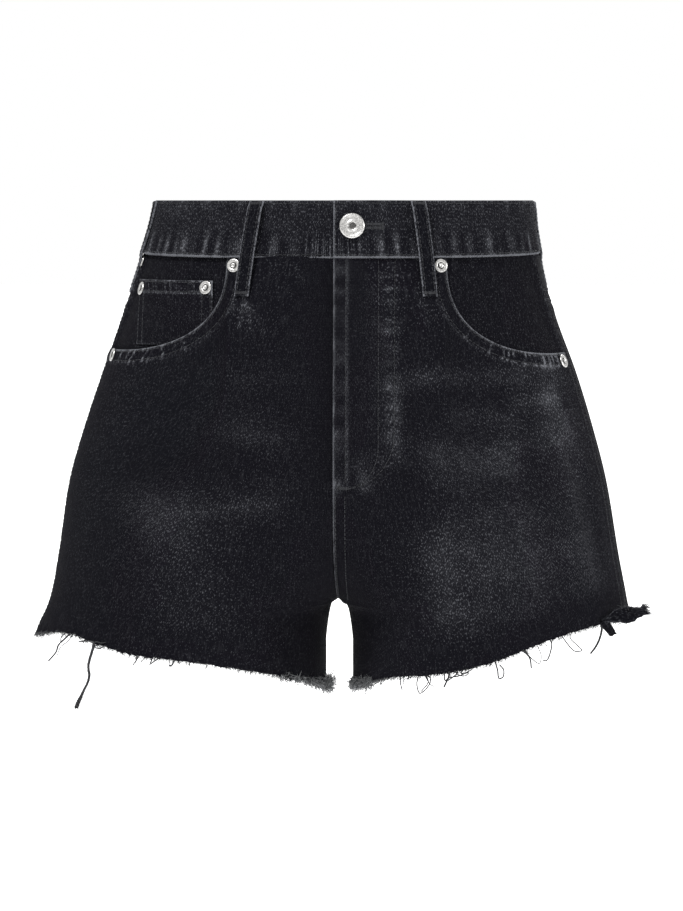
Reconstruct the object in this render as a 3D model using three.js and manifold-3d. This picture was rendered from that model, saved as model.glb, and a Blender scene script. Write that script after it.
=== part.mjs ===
// High-waisted denim shorts with cut-off, frayed hems, hollow and upright as when worn.
// Millimetres. The origin is in the middle of the waist opening, level with the waistband's top edge.
// +Z is up, the front faces -Y, and +X is the wearer's left. x = 0 is the plane of the centre seams.
import * as THREE from 'three';
import { mergeVertices } from 'three/addons/utils/BufferGeometryUtils.js';
import Module from 'manifold-3d';

const wasm = await Module();
wasm.setup();

// Cloth and seams
const CLOTH = 1.2;
const SEAM_GAP = 0.3;
const RIGHT = -1;
const LEFT = 1;

// Heights of the main lines, measured down from the waistband's top edge
const BAND_FRONT = -39.4;
const BAND_SIDE = -37.3;
const CROTCH = -283;
const FLY_END = -197;
const SIDE_TURN = -238;

// Front-to-back shape between the legs
const INSEAM_Y = 17;
const FRONT_RISE_CURVE = 65;
const BACK_RISE_CURVE = 110;
const LEG_GAP = 9.6;
const LEG_GAP_HEIGHT = 30;
const LEG_GAP_POWER = 0.3;

// Sections of the worn form. right and left are the half widths, front and back the depths from the
// side line, thigh and seat the x of the two high lines, and rightY and leftY where the side seams run.
const SECTIONS = [
  { z: 0, right: 128.6, left: 136.6, front: 93, back: 94, thigh: 16, seat: 24, rightY: -8, leftY: -25 },
  { z: -18, right: 132, left: 138, front: 95, back: 98, thigh: 18, seat: 26, rightY: -9, leftY: -25 },
  { z: -38, right: 138, left: 141.5, front: 97, back: 102, thigh: 20, seat: 28, rightY: -11, leftY: -25 },
  { z: -60, right: 145.3, left: 146.5, front: 99, back: 109, thigh: 26, seat: 34, rightY: -15, leftY: -25 },
  { z: -87, right: 155, left: 155.3, front: 101, back: 117, thigh: 34, seat: 42, rightY: -12, leftY: -26 },
  { z: -121, right: 166.8, left: 168, front: 104, back: 125, thigh: 46, seat: 54, rightY: -6, leftY: -27 },
  { z: -160, right: 180, left: 180, front: 106, back: 128.5, thigh: 60, seat: 66, rightY: -4, leftY: -28 },
  { z: -198, right: 190.8, left: 189.8, front: 107, back: 127, thigh: 74, seat: 78, rightY: -4, leftY: -29 },
  { z: -249, right: 198.7, left: 198.5, front: 105, back: 119, thigh: 90, seat: 92, rightY: -4, leftY: -31 },
  { z: -283, right: 205.5, left: 205, front: 101, back: 111, thigh: 98, seat: 100, rightY: -4, leftY: -31 },
  { z: -310, right: 217, left: 209, front: 98, back: 105, thigh: 103, seat: 104, rightY: -4, leftY: -31 },
  { z: -356, right: 225, left: 214, front: 95, back: 100, thigh: 106, seat: 107, rightY: -4, leftY: -31 },
];

// The cut hem, by its place round each leg: 0 is the inseam, 1 the front of the thigh, 2 the side,
// 3 the back of the thigh and 4 the inseam again.
const HEM = [
  { round: 0, right: -347, left: -347 },
  { round: 0.3, right: -337.5, left: -338 },
  { round: 0.55, right: -329, left: -330 },
  { round: 0.75, right: -322.5, left: -326 },
  { round: 0.9, right: -318, left: -321.5 },
  { round: 1.05, right: -315, left: -315 },
  { round: 1.2, right: -312.5, left: -306 },
  { round: 1.35, right: -307, left: -299 },
  { round: 1.55, right: -301, left: -294 },
  { round: 1.8, right: -304.5, left: -292 },
  { round: 2, right: -309, left: -291.5 },
  { round: 2.4, right: -312, left: -297 },
  { round: 2.8, right: -322, left: -312 },
  { round: 3.2, right: -335, left: -330 },
  { round: 3.6, right: -351, left: -351 },
  { round: 4, right: -347, left: -347 },
];

// Soft folds in the worn cloth, each along a line from one place to another. A place is how far round
// the half it lies and its height. rise is positive for a ridge and negative for a trough.
const FOLDS = [
  { half: RIGHT, round: 0.9, z: -116, toRound: 1.75, toZ: -122, width: 13, rise: 1.5 },
  { half: RIGHT, round: 1.0, z: -139, toRound: 1.7, toZ: -143, width: 11, rise: -1.5 },
  { half: RIGHT, round: 0.7, z: -158, toRound: 1.7, toZ: -162, width: 14, rise: 1.7 },
  { half: RIGHT, round: 0.6, z: -182, toRound: 1.6, toZ: -186, width: 13, rise: -1.9 },
  { half: RIGHT, round: 0.7, z: -208, toRound: 1.75, toZ: -199, width: 15, rise: 2.2 },
  { half: RIGHT, round: 0.5, z: -246, toRound: 1.1, toZ: -224, width: 15, rise: -2.2 },
  { half: LEFT, round: 0.9, z: -121, toRound: 1.75, toZ: -115, width: 13, rise: 1.6 },
  { half: LEFT, round: 1.0, z: -143, toRound: 1.75, toZ: -138, width: 10, rise: -1.4 },
  { half: LEFT, round: 0.8, z: -172, toRound: 1.7, toZ: -164, width: 13, rise: 2 },
  { half: LEFT, round: 0.5, z: -201, toRound: 1.35, toZ: -185, width: 15, rise: -2.6 },
  { half: LEFT, round: 0.9, z: -246, toRound: 1.6, toZ: -240, width: 17, rise: 2.2 },
  { half: LEFT, round: 1.62, z: -156, toRound: 1.68, toZ: -262, width: 9, rise: -2.4 },
  { half: RIGHT, round: 3.1, z: -262, toRound: 2.3, toZ: -250, width: 16, rise: -2.2 },
  { half: RIGHT, round: 3.5, z: -225, toRound: 2.9, toZ: -262, width: 14, rise: 1.8 },
  { half: LEFT, round: 3.2, z: -268, toRound: 2.4, toZ: -258, width: 15, rise: -2 },
  { half: LEFT, round: 3.5, z: -218, toRound: 2.8, toZ: -254, width: 16, rise: 1.9 },
];

// How far into its rise a fold already is at its ends
const FOLD_END = 0.06;

// Waistband
const BAND_OUT = 1.2;
const BAND_IN = -1.8;
const BAND_STEP = 1.7;
const UNDERLAP = 34;
const LAP_FLAT = 27;
const LAP_EASE = 34;

// Fly
const FLY_STEP = 1.3;
const FLY_EASE = 34;
const FLY_FADE = 24;
const SHIELD_WIDTH = 41;
const SHIELD_CLOTH = 1.8;
const SHIELD_GAP = 0.85;

// Front pockets: the scoop starts at x under the waistband and reaches the side seam at its depth
const SCOOPS = {
  [RIGHT]: { side: 'right', start: 73, bottom: -104, facingOut: -2.95 },
  [LEFT]: { side: 'left', start: 77, bottom: -106, facingOut: -1.9 },
};
const SCOOP_POWER = 2.3;
// Above 1, this draws a scoop's points together towards the side, where the hip curves most
const SCOOP_SPACING = 1.7;
const FACING_UNDER = 17;
const BAG_START = 102;
const BAG_BOTTOM = -204;
const BAG_POWER = 3.2;
const BAG_CLOTH = 1;
const BAG_GAP = 0.7;

// Coin pocket on the right facing
const COIN = { inner: 83.5, outer: 139.6, top: -54.5, bottom: -99, out: -CLOTH - SEAM_GAP, cloth: 1.1 };

// Yokes and back pockets
const YOKE_SIDE = 33;
const YOKE_CENTRE = 60;
const BACK_POCKET = { fromCentre: 27, top: -98, width: 134, taper: 8, height: 122, point: 22, seat: 0.85 };

// Belt loops. The top is at an x of the front, or at a place round the half, and lean is how far the
// foot lies sideways from it, away from the front's centre.
const LOOP = { width: 10.2, cloth: 1.8, length: 64.5, top: -0.8, tack: 7 };
const LOOPS = [
  { name: 'belt_loop_front_right', half: RIGHT, x: 52.3, lean: 8, stand: 2.4 },
  { name: 'belt_loop_front_left', half: LEFT, x: 57, lean: 7, stand: 2.4 },
  { name: 'belt_loop_side_right', half: RIGHT, round: 1.855, lean: 18, stand: 0.6 },
  { name: 'belt_loop_side_left', half: LEFT, round: 2.09, lean: 2, stand: 1.4 },
  { name: 'belt_loop_back', half: LEFT, round: 4, lean: 0, stand: 2.4 },
];

// Metal parts
const BUTTON = { x: 13, z: -17.7, radius: 8.7, height: 3.3 };
const RIVET_RADIUS = 4.7;
const RIVETS = [
  { name: 'rivet_pocket_right_top', half: RIGHT, x: 68, z: -44.4, seat: 0 },
  { name: 'rivet_pocket_right_side', half: RIGHT, x: 157, z: -108, seat: 0 },
  { name: 'rivet_pocket_left_top', half: LEFT, x: 73, z: -44.4, seat: 0 },
  { name: 'rivet_pocket_left_side', half: LEFT, x: 157.5, z: -112, seat: 0 },
  { name: 'rivet_coin_inner', half: RIGHT, x: 88.5, z: -59.3, seat: COIN.out },
  { name: 'rivet_coin_outer', half: RIGHT, x: 137.5, z: -61, seat: COIN.out },
  { name: 'rivet_side_right', half: RIGHT, x: 133, z: -43.5, seat: -2.95 },
];

// Frayed hems
const FRAY_STRIP = 3;
const STRAND_SPACING = 9.5;
const STRAND_ROOT = 0.42;
const STRAND_TIP = 0.22;
// Long loose threads: where each hangs round its leg, and how far each step goes sideways and down
const THREADS = [
  { half: RIGHT, round: 1.93, steps: [[3, -4], [4, -5]] },
  { half: RIGHT, round: 1.6, steps: [[1, -6], [4, -9], [5, -8]] },
  { half: RIGHT, round: 1.4, steps: [[1.5, -9], [2.5, -10], [0.5, -6], [3, -8], [5, -13]] },
  { half: RIGHT, round: 1.17, steps: [[1, -4], [-1, -4]] },
  { half: RIGHT, round: 1.1, steps: [[1, -4], [1.5, -5]] },
  { half: LEFT, round: 0.58, steps: [[-1, -5], [-1, -4]] },
  { half: LEFT, round: 0.66, steps: [[-2, -6], [1.5, -5]] },
  { half: LEFT, round: 0.85, steps: [[2, -5], [-3, -7]] },
  { half: LEFT, round: 1.05, steps: [[-2, -7], [1, -6]] },
  { half: LEFT, round: 1.14, steps: [[1, -7], [1, -5]] },
  { half: LEFT, round: 1.22, steps: [[2, -6], [-1, -8]] },
  { half: LEFT, round: 1.38, steps: [[2, -5], [2, -7]] },
  { half: LEFT, round: 1.57, steps: [[1, -6], [-1, -6], [-5, -9]] },
];

// The felled end of the left side seam, which turns out past the hem: where it starts before the seam
// and above the hem, and how far it goes
const SEAM_END = { width: 10, cloth: 1.6, before: 0.22, above: 3.4, reach: 31, depth: 13, lift: 8 };

const DENIM = { color: 0x1d1d22, roughness: 0.93, metalness: 0 };
const DENIM_FADED = { color: 0x24262b, roughness: 0.95, metalness: 0 };
const DENIM_EDGE = { color: 0x34353a, roughness: 0.96, metalness: 0 };
const BAG_COTTON = { color: 0x151517, roughness: 0.97, metalness: 0 };
const METAL = { color: 0xb9bbbd, roughness: 0.38, metalness: 1 };

const group = new THREE.Group();

// Small numeric helpers
const mix = (a, b, t) => a + (b - a) * t;
const clamp01 = (t) => Math.min(1, Math.max(0, t));
const ease = (t) => clamp01(t) ** 2 * (3 - 2 * clamp01(t));
const QUARTER = Math.PI / 2;

// A smooth curve through one column of a table whose key column rises or falls steadily
function readTable(table, key, column, at) {
  const falling = table[0][key] > table[table.length - 1][key];
  const wanted = falling ? -at : at;
  const place = table.map((row) => (falling ? -row[key] : row[key]));
  let i = 0;
  while (i < table.length - 2 && place[i + 1] < wanted) {
    i += 1;
  }
  const span = place[i + 1] - place[i];
  const t = clamp01((wanted - place[i]) / span);
  const slope = (k) => {
    const lo = Math.max(0, k - 1);
    const hi = Math.min(table.length - 1, k + 1);
    return ((table[hi][column] - table[lo][column]) / (place[hi] - place[lo])) * span;
  };
  const a = table[i][column];
  const b = table[i + 1][column];
  const t2 = t * t;
  const t3 = t2 * t;
  const between = a * (2 * t3 - 3 * t2 + 1) + b * (3 * t2 - 2 * t3);
  return between + slope(i) * (t3 - 2 * t2 + t) + slope(i + 1) * (t3 - t2);
}

// One level of one half: its widths and depths, and how far the crotch has drawn in there
function sectionAt(half, z) {
  const read = (column) => readTable(SECTIONS, 'z', column, z);
  const below = Math.max(0, CROTCH - z);
  const gap = LEG_GAP * Math.min(1, below / LEG_GAP_HEIGHT) ** LEG_GAP_POWER;
  return {
    width: read(half === RIGHT ? 'right' : 'left'),
    front: read('front'),
    back: read('back'),
    thigh: read('thigh'),
    seat: read('seat'),
    seamY: read(half === RIGHT ? 'rightY' : 'leftY'),
    inner: Math.max(SEAM_GAP / 2, gap),
    frontRise: clamp01((CROTCH + FRONT_RISE_CURVE - z) / FRONT_RISE_CURVE),
    backRise: clamp01((CROTCH + BACK_RISE_CURVE - z) / BACK_RISE_CURVE),
  };
}

// The worn form's outer face without folds. round runs 0 to 4: centre front or inseam, front of the
// thigh, side, back of the thigh, centre back or inseam.
function bareSkin(half, round, z) {
  const s = sectionAt(half, z);
  let x;
  let y;
  if (round <= 1) {
    const c = Math.cos(QUARTER * round);
    x = s.thigh - (s.thigh - s.inner) * c;
    y = INSEAM_Y - (s.front + INSEAM_Y) * Math.sqrt(Math.max(0, 1 - (s.frontRise * c) ** 2));
  } else if (round <= 2) {
    const angle = QUARTER * (round - 1);
    x = s.thigh + (s.width - s.thigh) * Math.sin(angle);
    y = -s.front * Math.cos(angle);
  } else if (round <= 3) {
    const angle = QUARTER * (round - 2);
    x = s.seat + (s.width - s.seat) * Math.cos(angle);
    y = s.back * Math.sin(angle);
  } else {
    const c = Math.sin(QUARTER * (round - 3));
    x = s.seat - (s.seat - s.inner) * c;
    y = INSEAM_Y + (s.back - INSEAM_Y) * Math.sqrt(Math.max(0, 1 - (s.backRise * c) ** 2));
  }
  return new THREE.Vector3(half * x, y, z);
}

const ROUND_STEP = 0.03;
const HEIGHT_STEP = 0.6;

function skinNormal(half, round, z) {
  const alongA = bareSkin(half, Math.max(0, round - ROUND_STEP), z);
  const alongB = bareSkin(half, Math.min(4, round + ROUND_STEP), z);
  const downA = bareSkin(half, round, z + HEIGHT_STEP);
  const downB = bareSkin(half, round, z - HEIGHT_STEP);
  const along = alongB.sub(alongA);
  const down = downB.sub(downA);
  return along.cross(down).multiplyScalar(-half).normalize();
}

// How far the folds lift the cloth at a place
function foldRise(half, round, z) {
  const here = bareSkin(half, round, z);
  let rise = 0;
  for (const fold of FOLDS) {
    if (fold.half === half) {
      const a = bareSkin(half, fold.round, fold.z);
      const b = bareSkin(half, fold.toRound, fold.toZ);
      const ab = b.clone().sub(a);
      const t = clamp01(here.clone().sub(a).dot(ab) / ab.lengthSq());
      const off = here.distanceTo(a.addScaledVector(ab, t));
      const spread = off / fold.width;
      const along = Math.sin(Math.PI * mix(FOLD_END, 1 - FOLD_END, t));
      rise += fold.rise * along * Math.exp(-spread * spread);
    }
  }
  return rise;
}

// A point of the worn form, moved out from the cloth's outer face by out
function place(half, round, z, out) {
  const normal = skinNormal(half, round, z);
  return bareSkin(half, round, z).addScaledVector(normal, foldRise(half, round, z) + out);
}

// The place round a half where the front's surface has a given x
function roundAtX(half, x, z) {
  const s = sectionAt(half, z);
  if (x <= s.thigh) {
    return Math.acos(clamp01((s.thigh - x) / (s.thigh - s.inner))) / QUARTER;
  }
  return 1 + Math.asin(clamp01((x - s.thigh) / (s.width - s.thigh))) / QUARTER;
}

function sideSeam(half, z) {
  const s = sectionAt(half, z);
  return 1 + Math.acos(clamp01(-s.seamY / s.front)) / QUARTER;
}

// Goes a distance along the surface at one height, towards larger or smaller places round it
function walk(half, z, round, distance) {
  const step = Math.sign(distance) * 0.01;
  let at = round;
  let left = Math.abs(distance);
  let last = bareSkin(half, at, z);
  while (left > 0 && at + step >= 0 && at + step <= 4) {
    const next = bareSkin(half, at + step, z);
    const piece = next.distanceTo(last);
    at += step * Math.min(1, left / piece);
    left -= piece;
    last = next;
  }
  return at;
}

const frontness = (round) => (round <= 1 ? 1 : Math.max(0, Math.cos(QUARTER * (round - 1))));
const bandBottom = (round) => mix(BAND_SIDE, BAND_FRONT, frontness(round));
const hemAt = (half, round) => readTable(HEM, 'round', half === RIGHT ? 'right' : 'left', round);

// The wearer's left laps over the right, so the two fronts step out and in beside the fly
function flyStep(half, x, z) {
  const fade = ease((z - FLY_END + FLY_FADE) / FLY_FADE);
  return half * FLY_STEP * (1 - ease(x / FLY_EASE)) * fade;
}

const bandStep = (x) => BAND_STEP * (1 - ease((x - LAP_FLAT) / LAP_EASE));

function addMesh(name, geometry, look) {
  geometry.computeVertexNormals();
  const mesh = new THREE.Mesh(geometry, new THREE.MeshStandardMaterial(look));
  mesh.name = name;
  group.add(mesh);
  return mesh;
}

function solidFrom(positions, triangles) {
  const corner = (i) => new THREE.Vector3().fromArray(positions, i * 3);
  let volume = 0;
  for (const [a, b, c] of triangles) {
    volume += corner(a).dot(corner(b).cross(corner(c)));
  }
  const outward = volume > 0 ? triangles : triangles.map(([a, b, c]) => [a, c, b]);
  const geometry = new THREE.BufferGeometry();
  geometry.setAttribute('position', new THREE.Float32BufferAttribute(positions, 3));
  geometry.setIndex(outward.flat());
  return geometry;
}

// A closed wall over a grid. pointAt(column, row, face) gives the outer face for 0 and the inner for 1.
// When closed, the last column joins the first.
function wall(columns, rows, pointAt, closed = false) {
  const across = closed ? columns : columns + 1;
  const positions = [];
  for (const face of [0, 1]) {
    for (let j = 0; j <= rows; j += 1) {
      for (let i = 0; i < across; i += 1) {
        positions.push(...pointAt(i, j, face).toArray());
      }
    }
  }
  const at = (i, j, face) => face * across * (rows + 1) + j * across + (i % across);
  const triangles = [];
  const quad = (a, b, c, d) => triangles.push([a, b, c], [a, c, d]);
  for (let j = 0; j < rows; j += 1) {
    for (let i = 0; i < columns; i += 1) {
      quad(at(i, j, 0), at(i + 1, j, 0), at(i + 1, j + 1, 0), at(i, j + 1, 0));
      quad(at(i, j + 1, 1), at(i + 1, j + 1, 1), at(i + 1, j, 1), at(i, j, 1));
    }
    if (!closed) {
      quad(at(0, j, 1), at(0, j, 0), at(0, j + 1, 0), at(0, j + 1, 1));
      quad(at(columns, j, 0), at(columns, j, 1), at(columns, j + 1, 1), at(columns, j + 1, 0));
    }
  }
  for (let i = 0; i < columns; i += 1) {
    quad(at(i, 0, 1), at(i + 1, 0, 1), at(i + 1, 0, 0), at(i, 0, 0));
    quad(at(i, rows, 0), at(i + 1, rows, 0), at(i + 1, rows, 1), at(i, rows, 1));
  }
  return solidFrom(positions, triangles);
}

// The scooped pocket line at a turn of 0 (under the waistband) to 1 (at the side seam)
function scoopLine(half, start, bottom, power, turn) {
  const angle = QUARTER * (1 - (1 - turn) ** SCOOP_SPACING);
  const top = bandBottom(roundAtX(half, start, BAND_SIDE)) - SEAM_GAP;
  const z = mix(top, bottom, Math.sin(angle) ** (2 / power));
  const seamX = half * bareSkin(half, sideSeam(half, z), z).x;
  const x = seamX - (seamX - start) * Math.cos(angle) ** (2 / power);
  return { z, round: turn === 1 ? sideSeam(half, z) : roundAtX(half, x, z) };
}

// Columns near a scoop fan out between a plumb line from its mouth, at x, and the side seam. A share is
// how far a column is on its way from the thigh's high line to the side seam.
const seamShare = (half, round, z) => (round - 1) / (sideSeam(half, z) - 1);
const plumbShare = (half, x, z) => seamShare(half, roundAtX(half, x, z), z);

function fanShare(half, x, from, z) {
  const rest = (1 - seamShare(half, from.round, from.z)) / (1 - plumbShare(half, x, from.z));
  return 1 - rest * (1 - plumbShare(half, x, z));
}

// Front and back panels. inner is the columns from the centre to the thigh's high line.
const FRONT = { inner: 6, middle: 3, pocket: 10, rowsAbove: 6, rowsRise: 6, rowsBelow: 7 };
const BACK = { inner: 6, outer: 10, rowsAbove: 5, rowsRise: 7, rowsBelow: 7 };
const EDGE = 0.001;
// Below a pocket the front's columns spread evenly over this height
const SPREAD = 130;

// The panels' columns where they meet the hem, as places round the leg from the inseam to the side
function hemColumns(half, panel) {
  const seam = sideSeam(half, hemAt(half, 1.9));
  const outer = panel === FRONT ? FRONT.middle + FRONT.pocket : BACK.outer;
  const [centre, high] = panel === FRONT ? [0, 1] : [4, 3];
  const places = [];
  for (let i = 0; i < panel.inner; i += 1) {
    places.push(mix(centre, high, i / panel.inner));
  }
  for (let i = 0; i <= outer; i += 1) {
    places.push(mix(high, seam, i / outer));
  }
  return places;
}

const panelHem = (half, round) => hemAt(half, round) + FRAY_STRIP + SEAM_GAP;

// Heights of the rows down the centre front, round the crotch and down the inseam, close together
// where the rise turns under
function centreRows(top, riseCurve, hem, counts) {
  const rows = [];
  const riseTop = CROTCH + riseCurve;
  for (let j = 0; j < counts.rowsAbove; j += 1) {
    rows.push(mix(top, riseTop, j / counts.rowsAbove));
  }
  for (let j = 0; j < counts.rowsRise; j += 1) {
    rows.push(mix(riseTop, CROTCH, Math.sin((QUARTER * j) / counts.rowsRise)));
  }
  for (let j = 0; j <= counts.rowsBelow; j += 1) {
    rows.push(mix(CROTCH, hem, (j / counts.rowsBelow) ** 2.2));
  }
  return rows;
}

// The rows of any other column: even ones, which take on the centre's spacing towards the centre
function columnRows(top, hem, centre, nearness) {
  const crotchRow = centre.indexOf(CROTCH);
  const last = centre.length - 1;
  const turn = mix(SIDE_TURN, CROTCH, nearness);
  return centre.map((z, j) => {
    if (j <= crotchRow) {
      const centrePart = (z - centre[0]) / (CROTCH - centre[0]);
      return mix(top, turn, mix(j / crotchRow, centrePart, nearness));
    }
    const centrePart = (z - CROTCH) / (centre[last] - CROTCH);
    return mix(turn, hem, mix((j - crotchRow) / (last - crotchRow), centrePart, nearness));
  });
}

function frontPanel(half) {
  const scoop = SCOOPS[half];
  const columns = FRONT.inner + FRONT.middle + FRONT.pocket;
  const line = (turn) => scoopLine(half, scoop.start, scoop.bottom, SCOOP_POWER, turn);
  const mouth = line(0);
  const hemRounds = hemColumns(half, FRONT);
  const centre = centreRows(BAND_FRONT - SEAM_GAP, FRONT_RISE_CURVE, panelHem(half, 0), FRONT);
  const grid = [];
  for (let i = 0; i <= columns; i += 1) {
    const evenly = (i - FRONT.inner) / (columns - FRONT.inner);
    const hemRound = hemRounds[i];
    const middle = clamp01((i - FRONT.inner) / FRONT.middle);
    let start = { round: i > FRONT.inner ? mix(1, mouth.round, middle) : hemRound };
    start.z = bandBottom(start.round) - SEAM_GAP;
    if (i > FRONT.inner + FRONT.middle) {
      start = line((i - FRONT.inner - FRONT.middle) / FRONT.pocket);
    }
    const nearness = 1 - ease(hemRound / 1.25);
    const heights = columnRows(start.z, panelHem(half, hemRound), centre, nearness);
    grid.push(heights.map((z) => {
      let round = Math.max(EDGE, i / FRONT.inner);
      if (i > FRONT.inner) {
        const plumb = plumbShare(half, scoop.start, z) * middle;
        const share = middle < 1 ? plumb : fanShare(half, scoop.start, start, z);
        const part = mix(share, evenly, ease((scoop.bottom - z) / SPREAD));
        round = 1 + part * (sideSeam(half, z) - 1) - (i === columns ? EDGE : 0);
      }
      return { round, z };
    }));
  }
  const point = (i, j, face) => {
    const { round, z } = grid[i][j];
    const x = Math.abs(bareSkin(half, round, z).x);
    return place(half, round, z, flyStep(half, x, z) - face * CLOTH);
  };
  addMesh(`front_${scoop.side}`, wall(columns, centre.length - 1, point), DENIM);
}

// The back panel and the yoke above it share their columns, so that the seam between them stays even
const YOKE_ROWS = 3;

function backRound(half, i, z) {
  if (i <= BACK.inner) {
    return Math.min(4 - EDGE, 4 - i / BACK.inner);
  }
  return mix(3, sideSeam(half, z) + EDGE, (i - BACK.inner) / BACK.outer);
}

function yokeLine(half, i) {
  const seam = sideSeam(half, BAND_SIDE);
  const towardsCentre = clamp01((backRound(half, i, BAND_SIDE) - seam) / (4 - seam));
  return BAND_SIDE - mix(YOKE_SIDE, YOKE_CENTRE, towardsCentre);
}

function backPanel(half) {
  const columns = BACK.inner + BACK.outer;
  const hemRounds = hemColumns(half, BACK);
  const centre = centreRows(yokeLine(half, 0) - SEAM_GAP, BACK_RISE_CURVE, panelHem(half, 4), BACK);
  const grid = [];
  for (let i = 0; i <= columns; i += 1) {
    const nearness = 1 - ease((4 - hemRounds[i]) / 1.25);
    const top = yokeLine(half, i) - SEAM_GAP;
    const heights = columnRows(top, panelHem(half, hemRounds[i]), centre, nearness);
    grid.push(heights.map((z) => ({ round: backRound(half, i, z), z })));
  }
  const point = (i, j, face) => place(half, grid[i][j].round, grid[i][j].z, -face * CLOTH);
  addMesh(`back_${SCOOPS[half].side}`, wall(columns, centre.length - 1, point), DENIM);
}

function yoke(half) {
  const point = (i, j, face) => {
    const top = bandBottom(backRound(half, i, BAND_SIDE)) - SEAM_GAP;
    const z = mix(top, yokeLine(half, i), j / YOKE_ROWS);
    return place(half, backRound(half, i, z), z, -face * CLOTH);
  };
  addMesh(`yoke_${SCOOPS[half].side}`, wall(BACK.inner + BACK.outer, YOKE_ROWS, point), DENIM);
}

// The waistband, from the underlap's end, round by the wearer's right and back to the lap's edge
const BAND_ROWS = 3;
const BAND_QUARTERS = [3, 8, 8, 4];

function bandStations() {
  const stations = [];
  const underlapSteps = 3;
  for (let i = 0; i < underlapSteps; i += 1) {
    const x = UNDERLAP * (1 - i / underlapSteps);
    stations.push({ half: LEFT, round: roundAtX(LEFT, x, BAND_FRONT / 2), step: -BAND_STEP });
  }
  const around = [];
  BAND_QUARTERS.forEach((count, quarter) => {
    for (let i = 0; i < count; i += 1) {
      around.push(quarter + i / count);
    }
  });
  around.push(4);
  for (const half of [RIGHT, LEFT]) {
    const order = half === RIGHT ? around : [...around].reverse();
    for (const round of order) {
      const x = Math.abs(bareSkin(half, round, 0).x);
      stations.push({ half, round, step: round < 2 ? half * bandStep(x) : 0 });
    }
  }
  return stations;
}

function waistband() {
  const stations = bandStations();
  const point = (i, j, face) => {
    const { half, round, step } = stations[i];
    const z = mix(0, bandBottom(round), j / BAND_ROWS);
    return place(half, round, z, step + (face === 0 ? BAND_OUT : BAND_IN));
  };
  addMesh('waistband', wall(stations.length - 1, BAND_ROWS, point), DENIM_FADED);
}

// The fly's shield, sewn to the right front and lying behind the left front
function flyShield() {
  const columns = 5;
  const rows = 10;
  const point = (i, j, face) => {
    const x = mix(SEAM_GAP / 2, SHIELD_WIDTH, i / columns);
    const z = mix(BAND_FRONT - SEAM_GAP, FLY_END, j / rows);
    const out = flyStep(LEFT, x, z) - CLOTH - SHIELD_GAP;
    return place(LEFT, roundAtX(LEFT, x, z), z, out - face * SHIELD_CLOTH);
  };
  addMesh('fly_shield', wall(columns, rows, point), DENIM);
}

// A pocket layer that hangs from the waistband and ends at the side seam, along a scooped line
function scoopLayer(name, half, shape, look) {
  const line = (turn) => scoopLine(half, shape.start, shape.bottom, shape.power, turn);
  const point = (i, j, face) => {
    const low = line(mix(shape.from, 1, i / shape.columns));
    const top = bandBottom(low.round) - SEAM_GAP;
    const z = mix(top, low.z, j / shape.rows);
    const round = 1 + fanShare(half, shape.start, low, z) * (sideSeam(half, z) - 1) - EDGE;
    return place(half, round, z, shape.out - face * shape.cloth);
  };
  addMesh(name, wall(shape.columns, shape.rows, point), look);
}

function frontPocket(half) {
  const { side, start, bottom, facingOut } = SCOOPS[half];
  const facing = {
    start: start - FACING_UNDER,
    bottom: bottom - FACING_UNDER,
    power: SCOOP_POWER,
    from: 0.085,
    columns: 11,
    rows: 7,
    out: facingOut,
    cloth: 1.1,
  };
  scoopLayer(`pocket_facing_${side}`, half, facing, DENIM);
  const bag = {
    start: BAG_START,
    bottom: BAG_BOTTOM,
    power: BAG_POWER,
    from: 0.19,
    columns: 9,
    rows: 8,
    out: facingOut - facing.cloth - BAG_GAP,
    cloth: BAG_CLOTH,
  };
  scoopLayer(`pocket_bag_${side}`, half, bag, BAG_COTTON);
}

function coinPocket() {
  const columns = 13;
  const rows = 4;
  const point = (i, j, face) => {
    const z = mix(COIN.top, COIN.bottom, j / rows);
    const inner = roundAtX(RIGHT, COIN.inner, z);
    const outer = roundAtX(RIGHT, COIN.outer, z);
    return place(RIGHT, mix(inner, outer, i / columns), z, COIN.out - face * COIN.cloth);
  };
  addMesh('coin_pocket', wall(columns, rows, point), DENIM);
}

function backPocket(half) {
  const columns = 8;
  const rows = 8;
  const { fromCentre, top, width, taper, height, point: tip, seat } = BACK_POCKET;
  const point = (i, j, face) => {
    const u = i / columns;
    const v = j / rows;
    const low = top - height - tip * (1 - Math.abs(2 * u - 1));
    const z = mix(top, low, v);
    const inset = taper * v;
    const distance = fromCentre + inset + u * (width - 2 * inset);
    return place(half, walk(half, z, 4, -distance), z, seat + (1 - face) * CLOTH);
  };
  addMesh(`back_pocket_${SCOOPS[half].side}`, wall(columns, rows, point), DENIM);
}

// A belt loop: sewn at the waistband's top and below its seam, and standing off it in between
function beltLoop({ name, half, x, round, lean, stand }) {
  const columns = 2;
  const rows = 10;
  const foot = LOOP.top - LOOP.length;
  const point = (i, j, face) => {
    const t = j / rows;
    const z = mix(LOOP.top, foot, t);
    const middle = round ?? roundAtX(half, x, z);
    const aside = lean * t + LOOP.width * (i / columns - 0.5);
    const atCentre = middle === 4;
    const onHalf = atCentre && aside > 0 ? -half : half;
    const at = walk(half, z, middle, atCentre ? -Math.abs(aside) : aside);
    const onBand = BAND_OUT + (round ? 0 : half * bandStep(x)) + SEAM_GAP;
    const onCloth = SEAM_GAP;
    const seat = mix(onBand, onCloth, ease((t - 0.5) / 0.36));
    const endA = ease((LOOP.top - z) / LOOP.tack);
    const endB = ease((z - foot) / LOOP.tack - 0.2);
    const lift = seat + stand * (1 - 0.4 * ease((t - 0.5) / 0.4)) * Math.min(endA, endB);
    return place(onHalf, at, z, lift + (1 - face) * LOOP.cloth);
  };
  addMesh(name, wall(columns, rows, point), DENIM_EDGE);
}

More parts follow.
